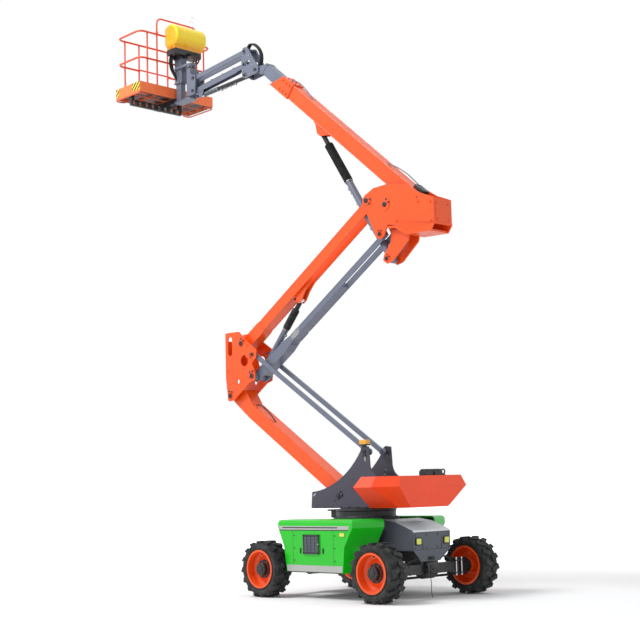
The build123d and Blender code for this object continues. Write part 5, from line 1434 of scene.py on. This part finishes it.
class BOOMLIFT_OT_platform(bpy.types.Operator):
    """Add stripes, tread, collars, controls and hoses to the platform"""
    bl_idname = "boomlift.platform"
    bl_label = "Platform"

    def execute(self, context):
        low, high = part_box("platform_floor")
        self.low, self.high = Vector(low), Vector(high)
        self.floor_z = self.high.z - 0.15
        self.stripes()
        self.floor()
        self.rails()
        self.controls()
        self.mast()
        return {"FINISHED"}

    def stripes(self):
        """Put yellow and black striped patches at the ends of the toe boards."""
        middle = (self.low + self.high) / 2
        patches = []
        for side in BOTH:
            edge = self.high.y * side
            patches += [
                (self.high.x - 0.125, edge, FORWARD * -side, 0.23),
                (self.low.x + 0.045, edge, FORWARD * -side, 0.08),
                (self.low.x, edge - side * 0.12, -ACROSS, 0.22),
            ]
        with (
            piece("stripe_grounds", "platform", "console_moulding") as yellow,
            piece("stripe_bars", "platform", "black_moulding") as black,
        ):
            for x, y, first, width in patches:
                centre = Vector((x, y, self.floor_z + 0.075))
                out = first.cross(UP)
                if out.dot(centre - middle) < 0:
                    out.negate()
                self.patch(yellow, black, centre, first, out, width)

    def patch(self, yellow, black, centre, first, out, width):
        """Make one patch: a yellow ground and slanting black bars."""
        half, rise = width / 2, PATCH_HEIGHT / 2
        ground = ((-half, -rise), (half, -rise), (half, rise), (-half, rise))
        slab(yellow, [centre + first * x + UP * z for x, z in ground], out * 0.0015)
        for index in range(int((width + PATCH_HEIGHT) / STRIPE_PITCH) + 1):
            low = -half - PATCH_HEIGHT + STRIPE_PITCH * index + 0.012
            high = low + PATCH_HEIGHT
            bar = [(low, -rise), (low + STRIPE_WIDTH, -rise), (high + STRIPE_WIDTH, rise), (high, rise)]
            outline = clipped(bar, half)
            if len(outline) > 2:
                slab(black, [centre + first * x + UP * z + out * 0.001 for x, z in outline], out * 0.0015)

    def floor(self):
        """Add raised tread bars on the floor, and ribs and bumper tubes below it."""
        low, high = self.low, self.high
        with piece("floor_tread", "platform", "floor_paint") as tread:
            for column, row in product(range(9), range(21)):
                place = (low.x + 0.1 + 0.068 * column, low.y + 0.11 + 0.072 * row, self.floor_z + 0.01)
                turn = Matrix.Rotation(0.7 if (column + row) % 2 else -0.7, 3, "Z")
                slab(tread, [Vector(place) + turn @ Vector((x, y, 0)) for x, y in TREAD_BAR], UP * 0.002)
        with piece("floor_ribs", "platform", "floor_paint", bevel=0.002) as ribs:
            for x in (low.x + 0.25, low.x + 0.49):
                block(ribs, span(x, 0.012), (low.y + 0.02, high.y - 0.02), (low.z - 0.012, low.z + 0.004))
            for y in (-0.62, -0.31, 0.31, 0.62):
                block(ribs, (low.x + 0.02, high.x - 0.02), span(y, 0.01), (low.z - 0.008, low.z + 0.004))
        for name, side in SIDES:
            rear = [(low.x + inset, high.y + step) for inset, step in BUMPER_END]
            front = [(high.x - inset, high.y + step) for inset, step in reversed(BUMPER_END)]
            path = [(x, y, low.z - 0.022) for x, y in rear + front]
            bent_tube(f"bumper_tube_{name}", sided(path, side), 0.012, "platform", "rail_paint")

    def rails(self):
        """Add collars and anchor rings to the rails, and a hoop on the guard."""
        rail_x = (self.low.x + RAIL_INSET, self.high.x - RAIL_INSET)
        edge = self.high.y - RAIL_INSET - 0.16
        corners = list(product(rail_x, (-edge, edge)))
        gate_posts = [(rail_x[1], -0.43), (rail_x[1], 0.48)]
        posts = [*corners, (rail_x[0], -0.33), (rail_x[0], 0.33), *gate_posts]
        with piece("rail_collars", "platform", "rail_paint") as collars:
            for x, y in posts:
                lathe(collars, (x, y, self.floor_z + 0.006), UP, POST_FOOT, 20)
                for height in (0.592, 1.084):
                    ring(collars, (x, y, self.floor_z + height), UP, 0.0165, 0.004, 20, 6)
            for x, y in gate_posts:
                lathe(collars, (x, y, self.floor_z + 1.1), UP, POST_TOP, 20)
        with piece("anchor_rings", "platform", "zinc_bolt") as rings:
            for x, y in corners:
                inward = 0.032 if x == rail_x[0] else -0.032
                ring(rings, (x + inward, y, self.floor_z + 0.3), ACROSS, 0.022, 0.005, 24, 8)
        with piece("guard_hoop", "platform", "pale_zinc") as hoop:
            foot = Vector((rail_x[1], 0.38, self.floor_z + 1.41))
            rod(hoop, foot, foot + UP * 0.11, 0.008)
            lathe(hoop, foot + UP * 0.004, UP, HOOP_FOOT, 20)
            ring(hoop, foot + UP * 0.155, Vector((0.7, -0.7, 0)), 0.045, 0.008, 32, 8)

    def controls(self):
        """Add the panel, levers and knobs on the console's inner face."""
        low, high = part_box("console")
        face = low[0] - 0.001
        front = face - 0.004
        middle = (low[1] + high[1]) / 2
        with piece("console_panel", "platform", "black_moulding", bevel=0.002) as panel:
            badge(panel, (face, middle, 9.78), ACROSS, UP, (0.56, 0.22), -0.004, 0.03)
        with piece("console_levers", "platform", "sleeve_rubber") as levers:
            for y in (-0.13, 0.27):
                lathe(levers, (front, y, 9.76), -FORWARD, LEVER, 24)
        with piece("console_knobs", "platform", "rail_paint") as knobs:
            for index in range(6):
                lathe(knobs, (front, -0.03 + 0.04 * index, 9.74), -FORWARD, SWITCH, 16)
            lathe(knobs, (front, middle, 9.81), -FORWARD, STOP_KNOB, 24)
        self.drum(low, high)

    def drum(self, low, high):
        """Round off the console's outer side with a half drum that has a raised band."""
        mesh = bmesh.new()
        middle = Vector(((low[0] + high[0]) / 2, 0, high[2] - 0.22))
        start, end = low[1], high[1]
        profile = (
            (start - 0.001, 0.0), (start - 0.001, DRUM_END_RADIUS), (start + 0.03, DRUM_RADIUS),
            (start + 0.2, DRUM_RADIUS), (start + 0.202, DRUM_BAND_RADIUS), (start + 0.23, DRUM_BAND_RADIUS),
            (start + 0.232, DRUM_RADIUS), (end - 0.03, DRUM_RADIUS), (end + 0.001, DRUM_END_RADIUS),
            (end + 0.001, 0.0),
        )
        turns = [math.radians(-97 + 194 * step / DRUM_STEPS) for step in range(DRUM_STEPS + 1)]
        rows = []
        for y, radius in profile:
            arc = [Vector((math.cos(turn) * radius, y, math.sin(turn) * radius)) for turn in turns]
            rows.append([mesh.verts.new(middle + point) for point in arc])
        for first, second in zip(rows, rows[1:]):
            for step in range(DRUM_STEPS):
                mesh.faces.new((first[step], first[step + 1], second[step + 1], second[step]))
        bmesh.ops.remove_doubles(mesh, verts=mesh.verts, dist=0.0002)
        drum = make_piece("console_drum", mesh, "platform", "drum_moulding")
        # The drum's end faces take the painted shade colour
        drum.data.materials.append(FINISH["drum_ends"])
        for face in drum.data.polygons:
            face.material_index = int(abs(face.normal.y) > 0.9)

    def mast(self):
        """Add bolts, ribs and hoses around the mast."""
        with piece("mast_bolts", "platform", "zinc_bolt") as bolts:
            for side, x in product(BOTH, (-4.49, -4.4, -4.31)):
                hex_bolt(bolts, (x, side * 0.068, 8.99), UP, 0.018)
            cheek_bolts(bolts, spots(ORIGIN, product((-4.47, -4.34), (9.05, 9.2, 9.36))), 0.06, 0.018)
            for y in (-0.07, 0.07):
                hex_bolt(bolts, (-4.2, y, 9.28), UP, 0.018)
        with piece("mast_ribs", "platform", "link_paint", bevel=0.002) as ribs:
            for side in BOTH:
                block(ribs, (-4.43, -4.38), (side * 0.06, side * 0.066), (9.0, 9.425))
            block(ribs, (-4.306, -4.299), span(0, 0.02), (9.0, 9.425))
        for index in range(3):
            y, drop = 0.02 + 0.035 * index, 0.03 * index
            hose(f"mast_hose_{index}", (
                (-4.28, y, 9.5), (-4.2 + drop, y + 0.02, 9.52), (-4.12 + drop, y + 0.05, 9.46),
                (-4.1 + drop, y + 0.06, 9.36), (-4.16 + drop, y + 0.04, 9.29), (-4.22, y, 9.278),
            ), "platform", 0.013)
        for index in range(3):
            y = -0.075 - 0.03 * index
            hose(f"console_hose_{index}", (
                (-4.44, y, 9.56), (-4.5, y - 0.03, 9.5), (-4.53, y - 0.03, 9.38), (-4.5, y - 0.02, 9.24),
                (-4.46, y + 0.01 + 0.01 * index, 9.12), (-4.45, -0.06, 9.04),
            ), "platform", 0.013)


# Steps from the head's pin
HEAD_BOLTS = ((-0.1, 0.1), (-0.16, 0.29), (-0.3, 0.32), (-0.32, 0.06), (-0.14, -0.05))
HEAD_FACE = 0.104
JIB_HOSE = ((0.12, 0.05), (0.22, 0.06), (0.7, 0.06), (1.15, 0.06), (1.26, 0.05))


class BOOMLIFT_OT_jib(bpy.types.Operator):
    """Add bolts, spacers, clips and hoses to the boom head, the jib and the rotator"""
    bl_idname = "boomlift.jib"
    bl_label = "Jib"

    def execute(self, context):
        self.head()
        self.arm()
        self.rotator()
        return {"FINISHED"}

    def head(self):
        """Dress the boom head."""
        for index, side in enumerate((-0.028, 0.0, 0.028)):
            path = (
                (-0.33, 0.4), (-0.27, 0.53), (-0.14, 0.5 + 0.012 * index),
                (0.02, 0.36), (0.06, 0.2), (0.02, 0.09),
            )
            hose(f"head_hose_{index}", spots(HEAD + ACROSS * side, path), "boom_head", 0.013)
        with piece("head_spacers", "boom_head", "link_paint", bevel=0.004) as spacers:
            for rear, front, low, high in ((-0.24, -0.2, 0.4, 0.425), (-0.08, -0.05, 0.17, 0.2)):
                block(spacers, (HEAD.x + rear, HEAD.x + front), span(0, 0.084), (HEAD.z + low, HEAD.z + high))
        with piece("head_bolts", "boom_head", "zinc_bolt") as bolts:
            cheek_bolts(bolts, spots(HEAD, HEAD_BOLTS), HEAD_FACE, 0.02)

    def arm(self):
        """Run clipped hoses along the jib's arm."""
        with piece("jib_hose_clips", "jib_arm", "black_moulding", bevel=0.003) as clips:
            for run in (0.35, 0.65, 0.95):
                beam_block(clips, JIB_ARM, (run, run + 0.02), span(0, 0.04), (0.047, 0.075))
        for index, side in enumerate((-0.024, 0.0, 0.024)):
            hose(f"jib_hose_{index}", JIB_ARM.path(JIB_HOSE, side), "jib_arm", 0.01)

    def rotator(self):
        """Put a bolted ring round each end of the rotator."""
        axis = Vector((PIVOT["platform_rotate"].x, 0, 0))
        with piece("rotator_rings", "rotator", "drum_paint") as rings:
            for low, high in ((8.66, 8.7), (9.18, 9.22)):
                profile = ((low, 0.085), (low + 0.004, 0.091), (high - 0.004, 0.091), (high, 0.085))
                lathe(rings, axis, UP, profile, 40)
        with piece("rotator_bolts", "rotator", "zinc_bolt") as bolts:
            for away, z in product(circle(UP, 10), (8.68, 9.2)):
                hex_bolt(bolts, axis + UP * z + away * 0.09, away, 0.014)


class BOOMLIFT_PT_panel(bpy.types.Panel):
    """List the dressing steps in the sidebar"""
    bl_label = "Boom Lift"
    bl_idname = "BOOMLIFT_PT_panel"
    bl_space_type = "VIEW_3D"
    bl_region_type = "UI"
    bl_category = "Boom Lift"

    def draw(self, context):
        for step in STEPS:
            self.layout.operator(step.bl_idname)


STEPS = (
    BOOMLIFT_OT_stage, BOOMLIFT_OT_finishes, BOOMLIFT_OT_wheels, BOOMLIFT_OT_pins, BOOMLIFT_OT_rams,
    BOOMLIFT_OT_booms, BOOMLIFT_OT_turret, BOOMLIFT_OT_covers, BOOMLIFT_OT_ends, BOOMLIFT_OT_platform,
    BOOMLIFT_OT_jib,
)
GROUPS_OF_SETTINGS = {
    "boom_lift_colours": BoomLiftColours,
    "boom_lift_stage": BoomLiftStage,
    "boom_lift_sizes": BoomLiftSizes,
}


def register():
    """Register the settings, operators and panel."""
    for name, group in GROUPS_OF_SETTINGS.items():
        bpy.utils.register_class(group)
        setattr(bpy.types.Scene, name, PointerProperty(type=group))
    for step in (*STEPS, BOOMLIFT_PT_panel):
        bpy.utils.register_class(step)


def unregister():
    """Take the settings, operators and panel away."""
    for step in reversed((*STEPS, BOOMLIFT_PT_panel)):
        bpy.utils.unregister_class(step)
    for name, group in GROUPS_OF_SETTINGS.items():
        delattr(bpy.types.Scene, name)
        bpy.utils.unregister_class(group)


def main():
    """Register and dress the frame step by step."""
    register()
    for step in STEPS:
        family, action = step.bl_idname.split(".")
        getattr(getattr(bpy.ops, family), action)()


if __name__ == "__main__":
    main()
